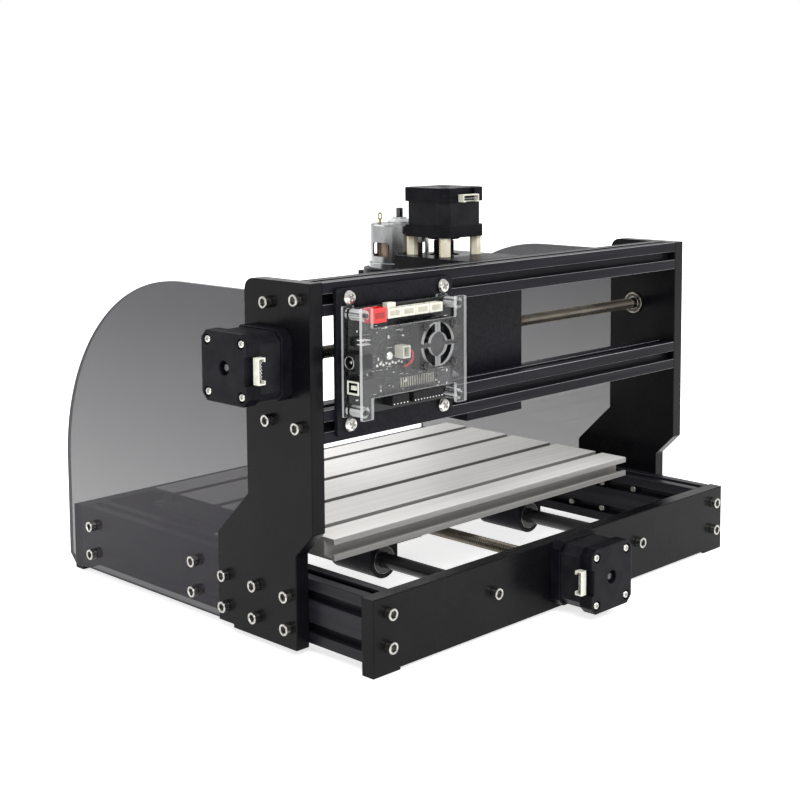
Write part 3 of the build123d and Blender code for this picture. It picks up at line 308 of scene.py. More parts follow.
class Look:
    """A principled material fed by procedural noise in object space."""

    def __init__(self, name, metal=0.0, **sockets):
        self.mat = bpy.data.materials.new(name)
        self.mat.use_nodes = True
        self.tree = self.mat.node_tree
        self.shader = self.tree.nodes["Principled BSDF"]
        self.shader.inputs["Metallic"].default_value = metal
        for key, value in sockets.items():
            self.shader.inputs[key.replace("_", " ")].default_value = value
        self.place = self.tree.nodes.new("ShaderNodeTexCoord")

    def node(self, kind, **values):
        made = self.tree.nodes.new("ShaderNode" + kind)
        for key, value in values.items():
            made.inputs[key].default_value = value
        return made

    def link(self, a, b):
        self.tree.links.new(a, b)

    def spread(self, stretch=(1, 1, 1)):
        """Object coordinates, scaled along each axis."""
        made = self.node("Mapping", Scale=stretch)
        self.link(self.place.outputs["Object"], made.inputs["Vector"])
        return made.outputs["Vector"]

    def noise(self, stretch=(1, 1, 1), scale=200.0, detail=4.0):
        tex = self.node("TexNoise", Scale=scale, Detail=detail, Roughness=0.55)
        self.link(self.spread(stretch), tex.inputs["Vector"])
        return tex.outputs["Fac"]

    def cells(self, scale):
        tex = self.node("TexVoronoi", Scale=scale)
        self.link(self.spread(), tex.inputs["Vector"])
        return tex.outputs["Distance"]

    def span(self, source, low, high, to_low, to_high):
        ends = {"From Min": low, "From Max": high, "To Min": to_low, "To Max": to_high}
        made = self.node("MapRange", **ends)
        self.link(source, made.inputs["Value"])
        return made.outputs["Result"]

    def colour(self, source, stops):
        ramp = self.node("ValToRGB")
        ramp.color_ramp.interpolation = "EASE"
        for mark, (position, colour) in zip(ramp.color_ramp.elements, stops):
            mark.position = position
            mark.color = (*colour, 1)
        self.link(source, ramp.inputs["Fac"])
        self.link(ramp.outputs["Color"], self.shader.inputs["Base Color"])

    def rough(self, source, low, high):
        self.link(self.span(source, 0.3, 0.7, low, high), self.shader.inputs["Roughness"])

    def bump(self, source, strength, distance=0.0001):
        made = self.node("Bump", Strength=strength, Distance=distance)
        self.link(source, made.inputs["Height"])
        self.link(made.outputs["Normal"], self.shader.inputs["Normal"])


def plain_look(
    name, dark, light, rough, metal=0.0, scale=180.0, stretch=(1, 1, 1), bump=0.15, **sockets
):
    look = Look(name, metal, **sockets)
    look.colour(look.noise(stretch, scale), [(0.3, dark), (0.7, light)])
    look.rough(look.noise(stretch, scale * 0.6, 3), *rough)
    look.bump(look.noise(stretch, scale * 4, 2), bump)
    return look.mat


def dusty_black(name):
    look = Look(name, Specular_IOR_Level=0.07)
    look.colour(look.noise(scale=22.0), [(0.3, (0.003, 0.003, 0.00366)), (0.75, (0.0051, 0.0051, 0.00585))])
    look.rough(look.noise(scale=60.0), 0.2, 0.3)
    look.bump(look.cells(420.0), 0.03, 0.00005)
    return look.mat


GRAIN_X = (0.04, 1, 1)
GRAIN_Y = (1, 0.04, 1)
BRUSHED_X = (0.015, 1, 1)

PLATE = dusty_black("phenolic_black")
MOULD = plain_look(
    "moulded_black", (0.004, 0.004, 0.006), (0.009, 0.009, 0.012), (0.28, 0.42),
    scale=500, bump=0.2, Specular_IOR_Level=0.06,
)
ANODISED = plain_look(
    "black_anodised", (0.006, 0.006, 0.008), (0.013, 0.013, 0.016), (0.30, 0.42),
    0.0, 160, GRAIN_Y, 0.12, Specular_IOR_Level=0.11,
)
BEAM_ANODISED = plain_look(
    "beam_anodised", (0.005, 0.005, 0.007), (0.011, 0.011, 0.014), (0.28, 0.4),
    0.0, 160, GRAIN_X, 0.12, Specular_IOR_Level=0.06,
)
TABLE = plain_look(
    "table_aluminium", (0.70, 0.69, 0.665), (0.77, 0.76, 0.74), (0.44, 0.5), 0.3, 260, BRUSHED_X, 0.06
)
# Painted shade: a darker copy of the table aluminium for its side, groove and slot faces.
TABLE_SIDE_SHADE = plain_look(
    "table_side_painted_shade", (0.27, 0.265, 0.255), (0.34, 0.335, 0.325), (0.42, 0.5), 0.3, 260, BRUSHED_X, 0.06
)
# Painted reflection: the chrome rods are drawn near-black and non-metal, standing in for chrome that
# mirrors the dark parts round it.
CHROME_DARK_REFLECTION = plain_look(
    "chrome_rod", (0.012, 0.012, 0.013), (0.02, 0.02, 0.022), (0.14, 0.22),
    0.0, 300, (1, 0.05, 1), 0.03, Specular_IOR_Level=0.3,
)
RACE = plain_look(
    "bearing_race", (0.16, 0.15, 0.125), (0.26, 0.24, 0.20), (0.2, 0.34), 1.0, 300, bump=0.1
)
# Painted highlight: a much lighter copy of the beam black for the rounded outer corners, drawn as thin
# bright lines.
BEAM_EDGE_HIGHLIGHT = plain_look(
    "beam_edge_painted_highlight", (0.16, 0.16, 0.17), (0.24, 0.24, 0.25), (0.3, 0.42), 0.0, 160, GRAIN_X, 0.1
)
THREAD = plain_look(
    "screw_steel", (0.10, 0.09, 0.074), (0.15, 0.135, 0.11), (0.24, 0.34), 1.0, 60, bump=0.05
)
TERMINAL = plain_look("terminal_brass", (0.30, 0.20, 0.06), (0.42, 0.30, 0.11), (0.3, 0.45), 0.6, 300)
BRASS = plain_look(
    "nut_brass", (0.60, 0.42, 0.16), (0.78, 0.60, 0.28), (0.18, 0.32), 1.0, 300, bump=0.1
)
STEEL = plain_look(
    "bearing_steel", (0.52, 0.52, 0.53), (0.70, 0.70, 0.71), (0.15, 0.3), 1.0, 300, bump=0.1
)
NICKEL = plain_look(
    "nickel_screw", (0.44, 0.43, 0.405), (0.60, 0.59, 0.56), (0.12, 0.26), 1.0, 500, bump=0.12
)
BOLT = plain_look(
    "bolt_nickel", (0.30, 0.295, 0.28), (0.44, 0.43, 0.41), (0.2, 0.32), 1.0, 500, bump=0.12
)
# Painted shade: a darker copy of the screw nickel for socket and cross recesses and for screw tips.
NICKEL_RECESS_SHADE = plain_look("screw_recess_painted_shade", (0.12, 0.12, 0.11), (0.26, 0.25, 0.23), (0.3, 0.5), 1.0, 500)
DARK_SCREW = plain_look(
    "black_screw", (0.006, 0.006, 0.007), (0.014, 0.014, 0.015), (0.2, 0.34), 0.0, 500
)
WHITE = plain_look(
    "socket_white", (0.52, 0.52, 0.45), (0.62, 0.62, 0.54), (0.34, 0.46),
    scale=300, Subsurface_Weight=0.1, Subsurface_Scale=0.002
)
IVORY = plain_look(
    "ivory_nylon", (0.66, 0.61, 0.46), (0.78, 0.74, 0.60), (0.34, 0.48),
    scale=120, Subsurface_Weight=0.2, Subsurface_Scale=0.003
)
RED = plain_look("socket_red", (0.50, 0.012, 0.01), (0.66, 0.02, 0.014), (0.3, 0.42), scale=300)
CAN = plain_look(
    "can_steel", (0.20, 0.203, 0.206), (0.34, 0.343, 0.345), (0.16, 0.28), 1.0, 70, (1, 1, 0.5), 0.1
)
BOSS = plain_look("can_boss", (0.38, 0.385, 0.39), (0.5, 0.505, 0.51), (0.26, 0.36), 0.25, 120)
SHAFT = plain_look("shaft_steel", (0.05, 0.05, 0.052), (0.10, 0.10, 0.105), (0.15, 0.3), 1.0, 300)
COPPER = plain_look(
    "winding_copper", (0.15, 0.10, 0.07), (0.33, 0.24, 0.18), (0.3, 0.45), 0.3, 900, (1, 1, 0.1), 0.8
)
BOARD = plain_look(
    "board_black", (0.005, 0.006, 0.006), (0.011, 0.013, 0.012), (0.2, 0.32),
    scale=400, bump=0.1, Specular_IOR_Level=0.25
)
CHIP = plain_look(
    "chip_black", (0.008, 0.008, 0.008), (0.016, 0.016, 0.016), (0.4, 0.55),
    scale=900, Specular_IOR_Level=0.25
)
TIN = plain_look("solder_tin", (0.55, 0.55, 0.54), (0.75, 0.75, 0.74), (0.2, 0.4), 1.0, 900)
FAN = plain_look(
    "fan_black", (0.005, 0.005, 0.006), (0.011, 0.011, 0.012), (0.3, 0.42),
    scale=300, Specular_IOR_Level=0.10
)
# Painted shade: grey for the openings of the white sockets; also used for a row of grey bars on the board.
SHADE = plain_look("socket_recess_painted_shade", (0.33, 0.32, 0.26), (0.42, 0.41, 0.34), (0.5, 0.6), scale=300)
# Painted shade: a darker copy of the socket red for the red socket's opening.
RED_RECESS_SHADE = plain_look("red_recess_painted_shade", (0.20, 0.006, 0.005), (0.28, 0.01, 0.008), (0.4, 0.5), scale=300)
SILK = plain_look("board_print", (0.60, 0.60, 0.58), (0.75, 0.75, 0.72), (0.5, 0.6), scale=900)


def motor_paint():
    look = Look("motor_black", Specular_IOR_Level=0.05)
    look.colour(look.noise(scale=90.0), [(0.3, (0.003, 0.003, 0.0045)), (0.7, (0.007, 0.007, 0.009))])
    look.rough(look.noise(scale=300.0), 0.28, 0.4)
    look.bump(look.noise(scale=1500.0), 0.18)
    return look.mat


def stator_paint(stretch, name):
    look = Look(name, Specular_IOR_Level=0.07)
    look.colour(look.noise(scale=90.0), [(0.3, (0.006, 0.006, 0.008)), (0.7, (0.012, 0.012, 0.014))])
    look.rough(look.noise(scale=200.0), 0.3, 0.44)
    look.bump(look.noise(stretch, 1400.0, 1), 0.35)
    return look.mat


MOTOR = motor_paint()
STATORS = {
    "x": stator_paint((1, 0.01, 0.01), "stator_black_x"),
    "y": stator_paint((0.01, 1, 0.01), "stator_black_y"),
    "z": stator_paint((0.01, 0.01, 1), "stator_black_z"),
}


def acrylic(name, tint, alpha, **sockets):
    look = Look(name, Alpha=alpha, IOR=1.49, **sockets)
    look.colour(look.noise(scale=12.0), [(0.3, tint), (0.8, tuple(c * 1.15 for c in tint))])
    look.rough(look.noise(scale=40.0), 0.03, 0.07)
    look.mat.surface_render_method = "BLENDED"
    return look


def smoked_sheet():
    """Smoke-tinted sheet with painted shade: more opaque, and so darker, towards its top edge."""
    look = acrylic("smoked_acrylic", (0.015, 0.013, 0.018), 0.8, Specular_IOR_Level=0.2)
    split = look.node("SeparateXYZ")
    look.link(look.place.outputs["Object"], split.inputs["Vector"])
    # Painted shade: alpha rises with height.
    look.link(look.span(split.outputs["Z"], 0.03, 0.20, 0.61, 0.785), look.shader.inputs["Alpha"])
    return look.mat


def clear_post_painted_streaks():
    """Clear turned spacer with painted reflections: bright and dark streaks along its length."""
    look = Look("clear_post_painted_streaks", Alpha=0.4, IOR=1.49)
    look.colour(look.noise((1, 0.02, 1), 420.0, 1), [(0.38, (0.05, 0.05, 0.05)), (0.56, (0.9, 0.91, 0.91))])
    look.rough(look.noise(scale=40.0), 0.05, 0.1)
    look.mat.surface_render_method = "BLENDED"
    return look.mat


SMOKED = smoked_sheet()
SMOKED_EDGE = acrylic("smoked_edge", (0.012, 0.011, 0.013), 0.94).mat
CLEAR = acrylic("clear_acrylic", (0.24, 0.24, 0.245), 0.11).mat
# Painted highlight: the cut edges of the clear sheets are drawn pale and half opaque, standing in for light
# caught in the edges.
CLEAR_EDGE_HIGHLIGHT = acrylic("clear_edge_painted_highlight", (0.78, 0.79, 0.79), 0.46).mat
POST = clear_post_painted_streaks()


# Sizes read from the CAD


def mm_box(node):
    lo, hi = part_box(node)
    return [v / MM for v in lo], [v / MM for v in hi]


PLATE_T = 10
RAIL_X = 168
PLATE_IN_X = 178
PLATE_OUT_X = 188
PANEL_OUT_X = 183
Y_ROD_X = 75.5
ROD_D = 10
BASE_SCREW_ZS = (16.5, 36.5)
AXIS_Z = 26.5
X_AXIS_Y = 75.0
X_SCREW_Z = 177.0
Z_AXIS_Y = 41.5
SPINDLE_Y = -1.8
FOOT_SCREW_YS = (30.1, 59.7, 89.2)
PANEL_SCREW_YS = (-124.6, -7.8)
BEAM_ZS = (140.4, 215.7)
X_ROD_ZS = (141.5, 212.5)
BEAM_Y = 102.0
HALF_LEN = 154.0
HEAD_D = 7.3
HEAD_T = 4.6
MOTOR_L = 34.0
CAP_T = 8.3
REAR_T = 9.6
PLUG_T = 5.2
MOTOR_W = 42.3
MOTOR_CUT = 4.5
BOLT_OFF = 15.5
SHAFT_D = 5


# Base and gantry


def slot_points(turn, shift):
    pts = [(3.1, 10), (3.1, 8.2), (5.5, 8.2), (5.5, 6.7), (2.8, 4.0)]
    pts += [(-x, y) for x, y in reversed(pts)]
    c, s = cos(radians(turn)), sin(radians(turn))
    return [(x * c - y * s + shift[0], x * s + y * c + shift[1]) for x, y in pts]


def profile_outline(tall):
    half = 20 if tall else 10
    lift = half - 10
    pts = [(10, half)]
    pts += slot_points(0, (0, lift))
    pts.append((-10, half))
    for shift in (lift, -lift) if tall else (0,):
        pts += slot_points(90, (0, shift))
    pts.append((-10, -half))
    pts += slot_points(180, (0, -lift))
    pts.append((10, -half))
    for shift in (-lift, lift) if tall else (0,):
        pts += slot_points(270, (0, shift))
    radii = []
    for x, y in pts:
        sides = (abs(abs(x) - 10) < 1e-3) + (abs(abs(y) - half) < 1e-3)
        radii.append((0.25, 0.45, 0.7)[sides])
    return rounded(pts, radii, 3)


def base_frame():
    foot = [(-180, 0), (-158, 0), (-158, 1.5), (158, 1.5), (158, 0), (180, 0)]
    plate_pts = foot + [(180, 46.5), (-180, 46.5)]
    front = flat_solid(plate_pts, PLATE_T, [circle(0, AXIS_Z, 5)], 0.45)
    rear = flat_solid(plate_pts, PLATE_T, [], 0.45)
    for name, mesh, y in (("front_plate", front, PLATE_T - HALF_LEN), ("rear_plate", rear, HALF_LEN)):
        Piece(name + "_body").add(mesh, upright(y), PLATE).done("frame", "phenolic_black", name)
    holes = [circle(0, s * 10, 2.1, 20) for s in SIDES]
    rail = flat_solid(profile_outline(True), 2 * (HALF_LEN - PLATE_T), holes, 0.15, 1)
    for name, x in (("left_rail", -RAIL_X), ("right_rail", RAIL_X)):
        where = upright(HALF_LEN - PLATE_T, x, AXIS_Z)
        Piece(name + "_profile").add(rail, where, ANODISED).done("frame", "black_anodised", name)


def gantry():
    pts = [
        (22, 6), (36.5, 6), (36.5, 3.8), (96.5, 3.8), (96.5, 62), (112, 77.5),
        (112, 225.7), (52.5, 225.7), (52.5, 92.5), (22, 63),
    ]
    outline = rounded(pts, [1, 0.3, 0.3, 1, 1.5, 1.5, 1, 9, 1.5, 1.5], 8)
    for name, x, holes in (
        ("left_gantry_plate", -PLATE_OUT_X, [circle(X_AXIS_Y, X_SCREW_Z, 5)]),
        ("right_gantry_plate", PLATE_IN_X, []),
    ):
        mesh = flat_solid(outline, PLATE_T, holes, 0.5)
        where = sideways(x)
        Piece(name + "_body").add(mesh, where, PLATE).done("frame", "phenolic_black", name)
    beam = flat_solid(profile_outline(False), 2 * PLATE_IN_X, [circle(0, 0, 2.1, 20)], 0.15, 1)
    for name, z in (("lower_beam", BEAM_ZS[0]), ("upper_beam", BEAM_ZS[1])):
        where = sideways(-PLATE_IN_X, BEAM_Y, z)
        piece = Piece(name + "_profile").add(beam, where, BEAM_ANODISED)
        piece.mats.append(BEAM_EDGE_HIGHLIGHT)
        # Painted highlight: the rounded outer corners of each beam get the light beam-edge copy.
        for face in piece.bm.faces:
            middle, way = face.calc_center_median(), face.normal
            outward = max(abs(middle.y - BEAM_Y), abs(middle.z - z)) > 9.5
            if outward and min(abs(way.y), abs(way.z)) > 0.3:
                face.material_index = 1
        piece.done("frame", "black_anodised", name)


def panel_points():
    front, r, knee, gap, back = -156.0, 137.0, 80.0, 0.5, 52.0
    centre = front + r
    pts = [(front + 6.5, 4.5), (22 - gap, 4.5), (22 - gap, 63.2)]
    pts += [(back, 92.7), (back, 217.0), (centre, 217.0)]
    steps = 40
    for k in range(1, steps):
        a = pi / 2 + pi / 2 * k / steps
        pts.append((centre + r * cos(a), knee + r * sin(a)))
    return pts + [(front, knee), (front, 11.0)]


def side_guards():
    outline = panel_points()
    for name, x in (("left_side_panel", -PANEL_OUT_X), ("right_side_panel", 180)):
        mesh = flat_solid(outline, 3, [], 0.2, 1)
        piece = Piece(name + "_sheet")
        piece.add(mesh, sideways(x), SMOKED)
        piece.mats.append(SMOKED_EDGE)
        for face in piece.bm.faces:
            if abs(face.normal.x) < 0.5:
                face.material_index = 1
        piece.done("frame", "smoked_acrylic", name, smooth=20)


def rods():
    mesh = shaft(2 * (HALF_LEN - PLATE_T), ROD_D)
    for name, x in (("left_y_rod", -Y_ROD_X), ("right_y_rod", Y_ROD_X)):
        where = aim((x, PLATE_T - HALF_LEN, AXIS_Z), Y_DIR)
        Piece(name + "_ground").add(mesh, where, CHROME_DARK_REFLECTION).done("frame", "chrome_rod", name)
    piece = Piece("x_rods_ground")
    for z in X_ROD_ZS:
        piece.add(shaft(2 * PLATE_IN_X, ROD_D), aim((-PLATE_IN_X, X_AXIS_Y, z), X_DIR), CHROME_DARK_REFLECTION)
    piece.done("frame", "chrome_rod", "x_rods")
    piece = Piece("z_rods_ground")
    for s in SIDES:
        piece.add(shaft(102.5, 8), at(s * 17.5, Z_AXIS_Y, 120), CHROME_DARK_REFLECTION)
    piece.done("carriage", "chrome_rod", "z_rods")


def drives():
    for name, body in (("x", "x_drive"), ("y", "y_drive"), ("z", "z_drive")):
        lo, hi = mm_box(name + "_lead_screw")
        axis = "xyz".index(name)
        start = [(a + b) / 2 for a, b in zip(lo, hi)]
        start[axis] = lo[axis]
        along = [0, 0, 0]
        along[axis] = 1
        piece = Piece(name + "_lead_screw_thread")
        for mesh, shift in threaded(hi[axis] - lo[axis], 8.0, 6.3, 2.0, 2):
            piece.add(mesh, aim(start, along) @ shift, THREAD)
        piece.done(body, "screw_steel", name + "_lead_screw", smooth=20)
        coupling(name, body, axis, along)


def coupling(name, body, axis, along):
    """Flexible coupling with three grooves round its middle."""
    lo, hi = mm_box(name + "_coupling")
    start = [(a + b) / 2 for a, b in zip(lo, hi)]
    start[axis] = lo[axis]
    r, e, long = 7.0, 0.4, 25
    pts = [(4.1, 0.3), (4.4, 0), (r - e, 0), (r, e)]
    for z in (8.2, 11.3, 14.4):
        pts += [(r, z), (r - 1.0, z + 0.3), (r - 1.0, z + 0.9), (r, z + 1.2)]
    pts += [(r, long - e), (r - e, long), (3.0, long), (2.6, long - 0.4), (2.6, 14), (4.1, 13)]
    piece = Piece(name + "_coupling_body")
    where = aim(start, along)
    piece.add(lathe(pts, 56, closed=True), where, MOTOR)
    for z in (4.2, 20.4):
        for turn in (30, 120):
            way = (*polar(1, turn), 0)
            piece.add(screw_head(3.0, 0.25, 1.5), where @ aim((*polar(6.7, turn), z), way), DARK_SCREW)
    piece.done(body, "coupling_black", name + "_coupling")


def screw_head(d, t, key):
    """Socket head from z = 0 to t with a six-sided hole."""
    hexagon = circle(0, 0, key / sqrt(3), 6)
    return flat_solid(circle(0, 0, d / 2), t, [hexagon], min(0.35, t * 0.3))


def socket_screw(piece, where):
    t, key = HEAD_T, 4.3
    piece.add(screw_head(HEAD_D, t, key), where, BOLT)
    low, high, r = t * 0.2, t * 0.35, key * 0.56
    # Painted shade: a dark disc down in the hex socket.
    piece.add(lathe([(0, high), (r, high), (r, low), (0, low)], 12), where, NICKEL_RECESS_SHADE)


def pan_screw(piece, where, d, t, mat=None, dark=None):
    """Domed head with a cross recess."""
    r = d / 2
    dome = [(0, 0), (r * 0.96, 0), (r, t * 0.2), (r * 0.97, t * 0.5)]
    dome += [(r * 0.8, t * 0.84), (r * 0.45, t * 0.99), (0, t)]
    piece.add(lathe(dome, 40), where, mat or NICKEL)
    w, h = d * 0.09, d * 0.26
    arm = [(w, w), (h, w), (h, -w)]
    cross = []
    for c, s in ((1, 0), (0, -1), (-1, 0), (0, 1)):
        cross += [(x * c - y * s, x * s + y * c) for x, y in arm]
    # Painted shade: the cross recess is drawn in a darker colour than the head.
    piece.add(flat_solid(cross, 0.6, [], 0.1, 1), where @ at(0, 0, t - 0.5), dark or NICKEL_RECESS_SHADE)


def frame_fasteners():
    piece = Piece("frame_screw_set")

    def bolt(x, y, z, way):
        socket_screw(piece, aim((x, y, z), way, rng.uniform(0, 60)))

    for side in SIDES:
        outward = (side, 0, 0)
        for end in SIDES:
            for z in BASE_SCREW_ZS:
                bolt(side * RAIL_X, end * HALF_LEN, z, (0, end, 0))
            bolt(side * Y_ROD_X, end * HALF_LEN, AXIS_Z, (0, end, 0))
        for x, ys in ((PLATE_OUT_X, FOOT_SCREW_YS), (PANEL_OUT_X, PANEL_SCREW_YS)):
            for y in ys:
                for z in BASE_SCREW_ZS:
                    bolt(side * x, y, z, outward)
                    # Painted shade: the screw tips on the rails' inner side are drawn in the dark recess
                    # colour.
                    piece.add(shaft(3, 5, 0.6, 24), aim((side * 161.5, y, z), (-side, 0, 0)), NICKEL_RECESS_SHADE)
        for z in BEAM_ZS:
            bolt(side * PLATE_OUT_X, BEAM_Y, z, outward)
        for z in X_ROD_ZS:
            bolt(side * PLATE_OUT_X, X_AXIS_Y, z, outward)
    for x in (80.4, 160.6):
        for z in BEAM_ZS:
            pan_screw(piece, aim((x, 115, z), Y_DIR, rng.uniform(0, 90)), 9.0, 3.2)
    for where in (x_motor_place(), y_motor_place()):
        cover_screws(piece, where)
    piece.done("frame", "nickel_screw", "frame_screws")
    piece = Piece("fan_screw_set")
    for x, z in fan_points():
        pan_screw(piece, aim((x, 133, z), Y_DIR, rng.uniform(0, 90)), 5.4, 1.8, DARK_SCREW, CHIP)
    piece.done("frame", "black_screw", "fan_screws")


def cover_screws(piece, where):
    for x, y in CORNERS:
        spot = where @ at(x * BOLT_OFF, y * BOLT_OFF, MOTOR_L - 1.4)
        pan_screw(piece, spot @ aim((0, 0, 0), Z_DIR, rng.uniform(0, 90)), 5.0, 1.4)


# Motors


def x_motor_place():
    return axes((PLATE_OUT_X, X_AXIS_Y, X_SCREW_Z), (0, 0, -1), X_DIR)


def y_motor_place():
    return axes((0, HALF_LEN, AXIS_Z), (0, 0, 1), Y_DIR)


def z_motor_place():
    return at(0, Z_AXIS_Y, 238.2)


def chamfered(width, cut, notch=0.0):
    h = width / 2
    pts = [(h, h - cut), (h - cut, h)]
    if notch:
        pts += [(8.3, h), (8.3, h - notch), (-8.3, h - notch), (-8.3, h)]
    pts += [(-h + cut, h), (-h, h - cut), (-h, -h + cut), (-h + cut, -h), (h - cut, -h), (h, -h + cut)]
    return rounded(pts, 0.6, 3)


def motor(name, where, body):
    inner = MOTOR_L - REAR_T
    corners = [(x * BOLT_OFF, y * BOLT_OFF) for x, y in CORNERS]
    wells = [circle(x, y, 3.15, 28) for x, y in corners]
    square = chamfered(MOTOR_W, MOTOR_CUT)
    shaft_hole = circle(0, 0, 2.6, 24)
    caps = Piece(name + "_motor_cover_set")
    caps.add(flat_solid(square, CAP_T, [shaft_hole], 0.5), where, MOTOR)
    caps.add(tube(2.0, 22, 5.2, 0.3), where @ at(0, 0, -2.0), MOTOR)
    caps.add(flat_solid(square, PLUG_T, [shaft_hole], 0.3), where @ at(0, 0, inner), MOTOR)
    notched = chamfered(MOTOR_W, MOTOR_CUT, 2.3)
    rear = flat_solid(notched, REAR_T - PLUG_T + 0.4, [circle(0, 0, 4.3, 36), *wells], 0.55, 3)
    caps.add(rear, where @ at(0, 0, inner + PLUG_T - 0.4), MOTOR)
    caps.add(tube(REAR_T - 2.6, 8.8, 5.2, 0.2), where @ at(0, 0, inner), MOTOR)
    for x, y in corners:
        caps.add(shaft(REAR_T - 1.5, 6.5, 0.2, 24), where @ at(x, y, inner), MOTOR)
    caps.done(body, "motor_black", name + "_motor_end_caps")
    core = Piece(name + "_motor_laminations")
    stack = flat_solid(chamfered(40.1, 5.5), inner - CAP_T + 0.2, [circle(0, 0, 13)], 0.15, 1)
    core.add(stack, where @ at(0, 0, CAP_T - 0.1), STATORS[name])
    core.done(body, "stator_black", name + "_motor_stator")
    rotor = Piece(name + "_motor_rotor")
    rotor.add(shaft(22 + MOTOR_L - 2, SHAFT_D, 0.5, 32), where @ at(0, 0, -22), SHAFT)
    rotor.add(tube(inner - CAP_T + 2, 25, SHAFT_D, 0.4), where @ at(0, 0, 7.3), SHAFT)
    rotor.done(name + "_drive", "shaft_steel", name + "_motor_shaft")


def cable_socket(piece, place):
    """White six-way socket on the rear cover, open outwards and towards the laminations."""
    where = place @ at(0, 21.1, MOTOR_L - REAR_T)
    wall = [(-7.9, -5.2), (7.9, -5.2), (7.9, 0), (5.4, 0), (5.4, -0.8), (7.1, -0.8), (7.1, -4.4)]
    wall += [(-7.1, -4.4), (-7.1, -0.8), (-5.4, -0.8), (-5.4, 0), (-7.9, 0)]
    turn = axes((0, 1.0, 0), X_DIR, Y_DIR)
    piece.add(flat_solid(rounded(wall, 0.2, 2), 3.85, [], 0.15), where @ turn, WHITE)
    piece.add(block(-7.9, 7.9, 0, 1.0, 0.1, 5.15, 0.1), where, WHITE)
    # Painted shade: a black sheet on the floor of the socket's cavity, behind the pins.
    piece.add(block(-7.0, 7.0, 0.9, 1.15, 0.9, 4.3, 0.02), where, CHIP)
    for k in range(6):
        x = -5 + 2 * k
        piece.add(block(x - 0.28, x + 0.28, 1.1, 4.2, 2.2, 2.76, 0.06), where, TIN)


def sockets():
    piece = Piece("motor_socket_set")
    cable_socket(piece, x_motor_place())
    cable_socket(piece, y_motor_place())
    piece.done("frame", "socket_white", "motor_sockets")
    piece = Piece("z_motor_socket_body")
    cable_socket(piece, z_motor_place())
    piece.done("carriage", "socket_white", "z_motor_socket")


# Table


def table_outline():
    half = 93.0
    pts = [(-half, -7), (half, -7)]

    def edge(side):
        low = [(half, -3.1), (half - 2.2, -3.1), (half - 2.2, -5), (half - 9, -5)]
        high = [(x, -y) for x, y in reversed(low)]
        run = low + high
        return run if side > 0 else [(-x, y) for x, y in reversed(run)]

    pts += edge(1)
    pts.append((half, 7))
    for y in (67.5, 22.5, -22.5, -67.5):
        half_slot = [(3, 7), (3, 4), (5.75, 4), (5.75, -1)]
        pts += [(y + x, z) for x, z in half_slot] + [(y - x, z) for x, z in reversed(half_slot)]
    pts.append((-half, 7))
    pts += edge(-1)
    return rounded(pts, 0.3, 2)


def table():
    mesh = flat_solid(table_outline(), 300, [], 0.2, 1)
    where = sideways(-150, -4, 55.9)
    top = Piece("work_table_extrusion").add(mesh, where, TABLE)
    top.mats.append(TABLE_SIDE_SHADE)
    # Painted shade: faces that turn away from the top, and all faces below the top lip, get the darker
    # table copy.
    for face in top.bm.faces:
        middle = face.calc_center_median()
        if face.normal.z < 0.5 and abs(face.normal.x) < 0.5 or middle.z < 62:
            face.material_index = 1
    top.done("table", "table_aluminium", "work_table")
    table_bearings()
    bracket = Piece("y_nut_bracket_body")
    outline = [(-13, 13.5), (13, 13.5), (16, 16.5), (16, 48.9), (-16, 48.9), (-16, 16.5)]
    mesh = flat_solid(rounded(outline, 0.5, 2), 20, [circle(0, AXIS_Z, 5.1, 32)], 0.4)
    bracket.add(mesh, upright(6), MOULD).done("table", "moulded_black", "y_nut_bracket")
    lead_nut("y_nut_body", aim((0, -17.5, AXIS_Z), Y_DIR), "table", "y_nut")


def table_bearings():
    """Four holders with a sleeve inside, and a closed face with a thin ring at each outer end."""
    holders = Piece("table_bearing_holder_set")
    rings = Piece("table_bearing_set")
    r, steps, hole = 12.5, 28, 19
    shape = [polar(r, 180 + 180 * k / steps) for k in range(steps + 1)] + [(r, 22.4), (-r, 22.4)]
    long = 29
    for x in (-Y_ROD_X, Y_ROD_X):
        for y0, y1 in ((16, 57), (-65, -24)):
            mesh = flat_solid(shape, y1 - y0, [circle(0, 0, hole / 2, 48)], 0.5)
            holders.add(mesh, upright(y1, x, AXIS_Z), MOULD)
            where = aim((x, (y0 + y1 - long) / 2, AXIS_Z), Y_DIR)
            rings.add(tube(long, hole, ROD_D + 0.4, 0.4), where, RACE)
            for y, end in ((y0, -1), (y1, 1)):
                face = aim((x, y - end * 0.7, AXIS_Z), (0, end, 0))
                rings.add(tube(0.5, 17.8, ROD_D + 0.6, 0.1), face, DARK_SCREW)
                rings.add(tube(0.6, 18.8, 17.9, 0.1), face, RACE)
    holders.done("table", "moulded_black", "table_bearing_holders")
    rings.done("table", "bearing_steel", "table_bearings")


def lead_nut(name, where, body, node):
    """Flanged brass nut with four screws through its flange."""
    piece = Piece(name)
    spots = [polar(8, 45 + 90 * k) for k in range(4)]
    holes = [circle(0, 0, 4.1, 32)] + [circle(x, y, 1.7, 16) for x, y in spots]
    piece.add(flat_solid(circle(0, 0, 11, 48), 3.5, holes, 0.3), where, BRASS)
    piece.add(tube(11.5, 10.2, 8.2, 0.3), where @ at(0, 0, 3.5), BRASS)
    for x, y in spots:
        pan_screw(piece, where @ at(x, y, 0) @ aim((0, 0, 0), (0, 0, -1)), 4.6, 1.6)
    piece.done(body, "nut_brass", node)


# Carriage, z axis and spindle


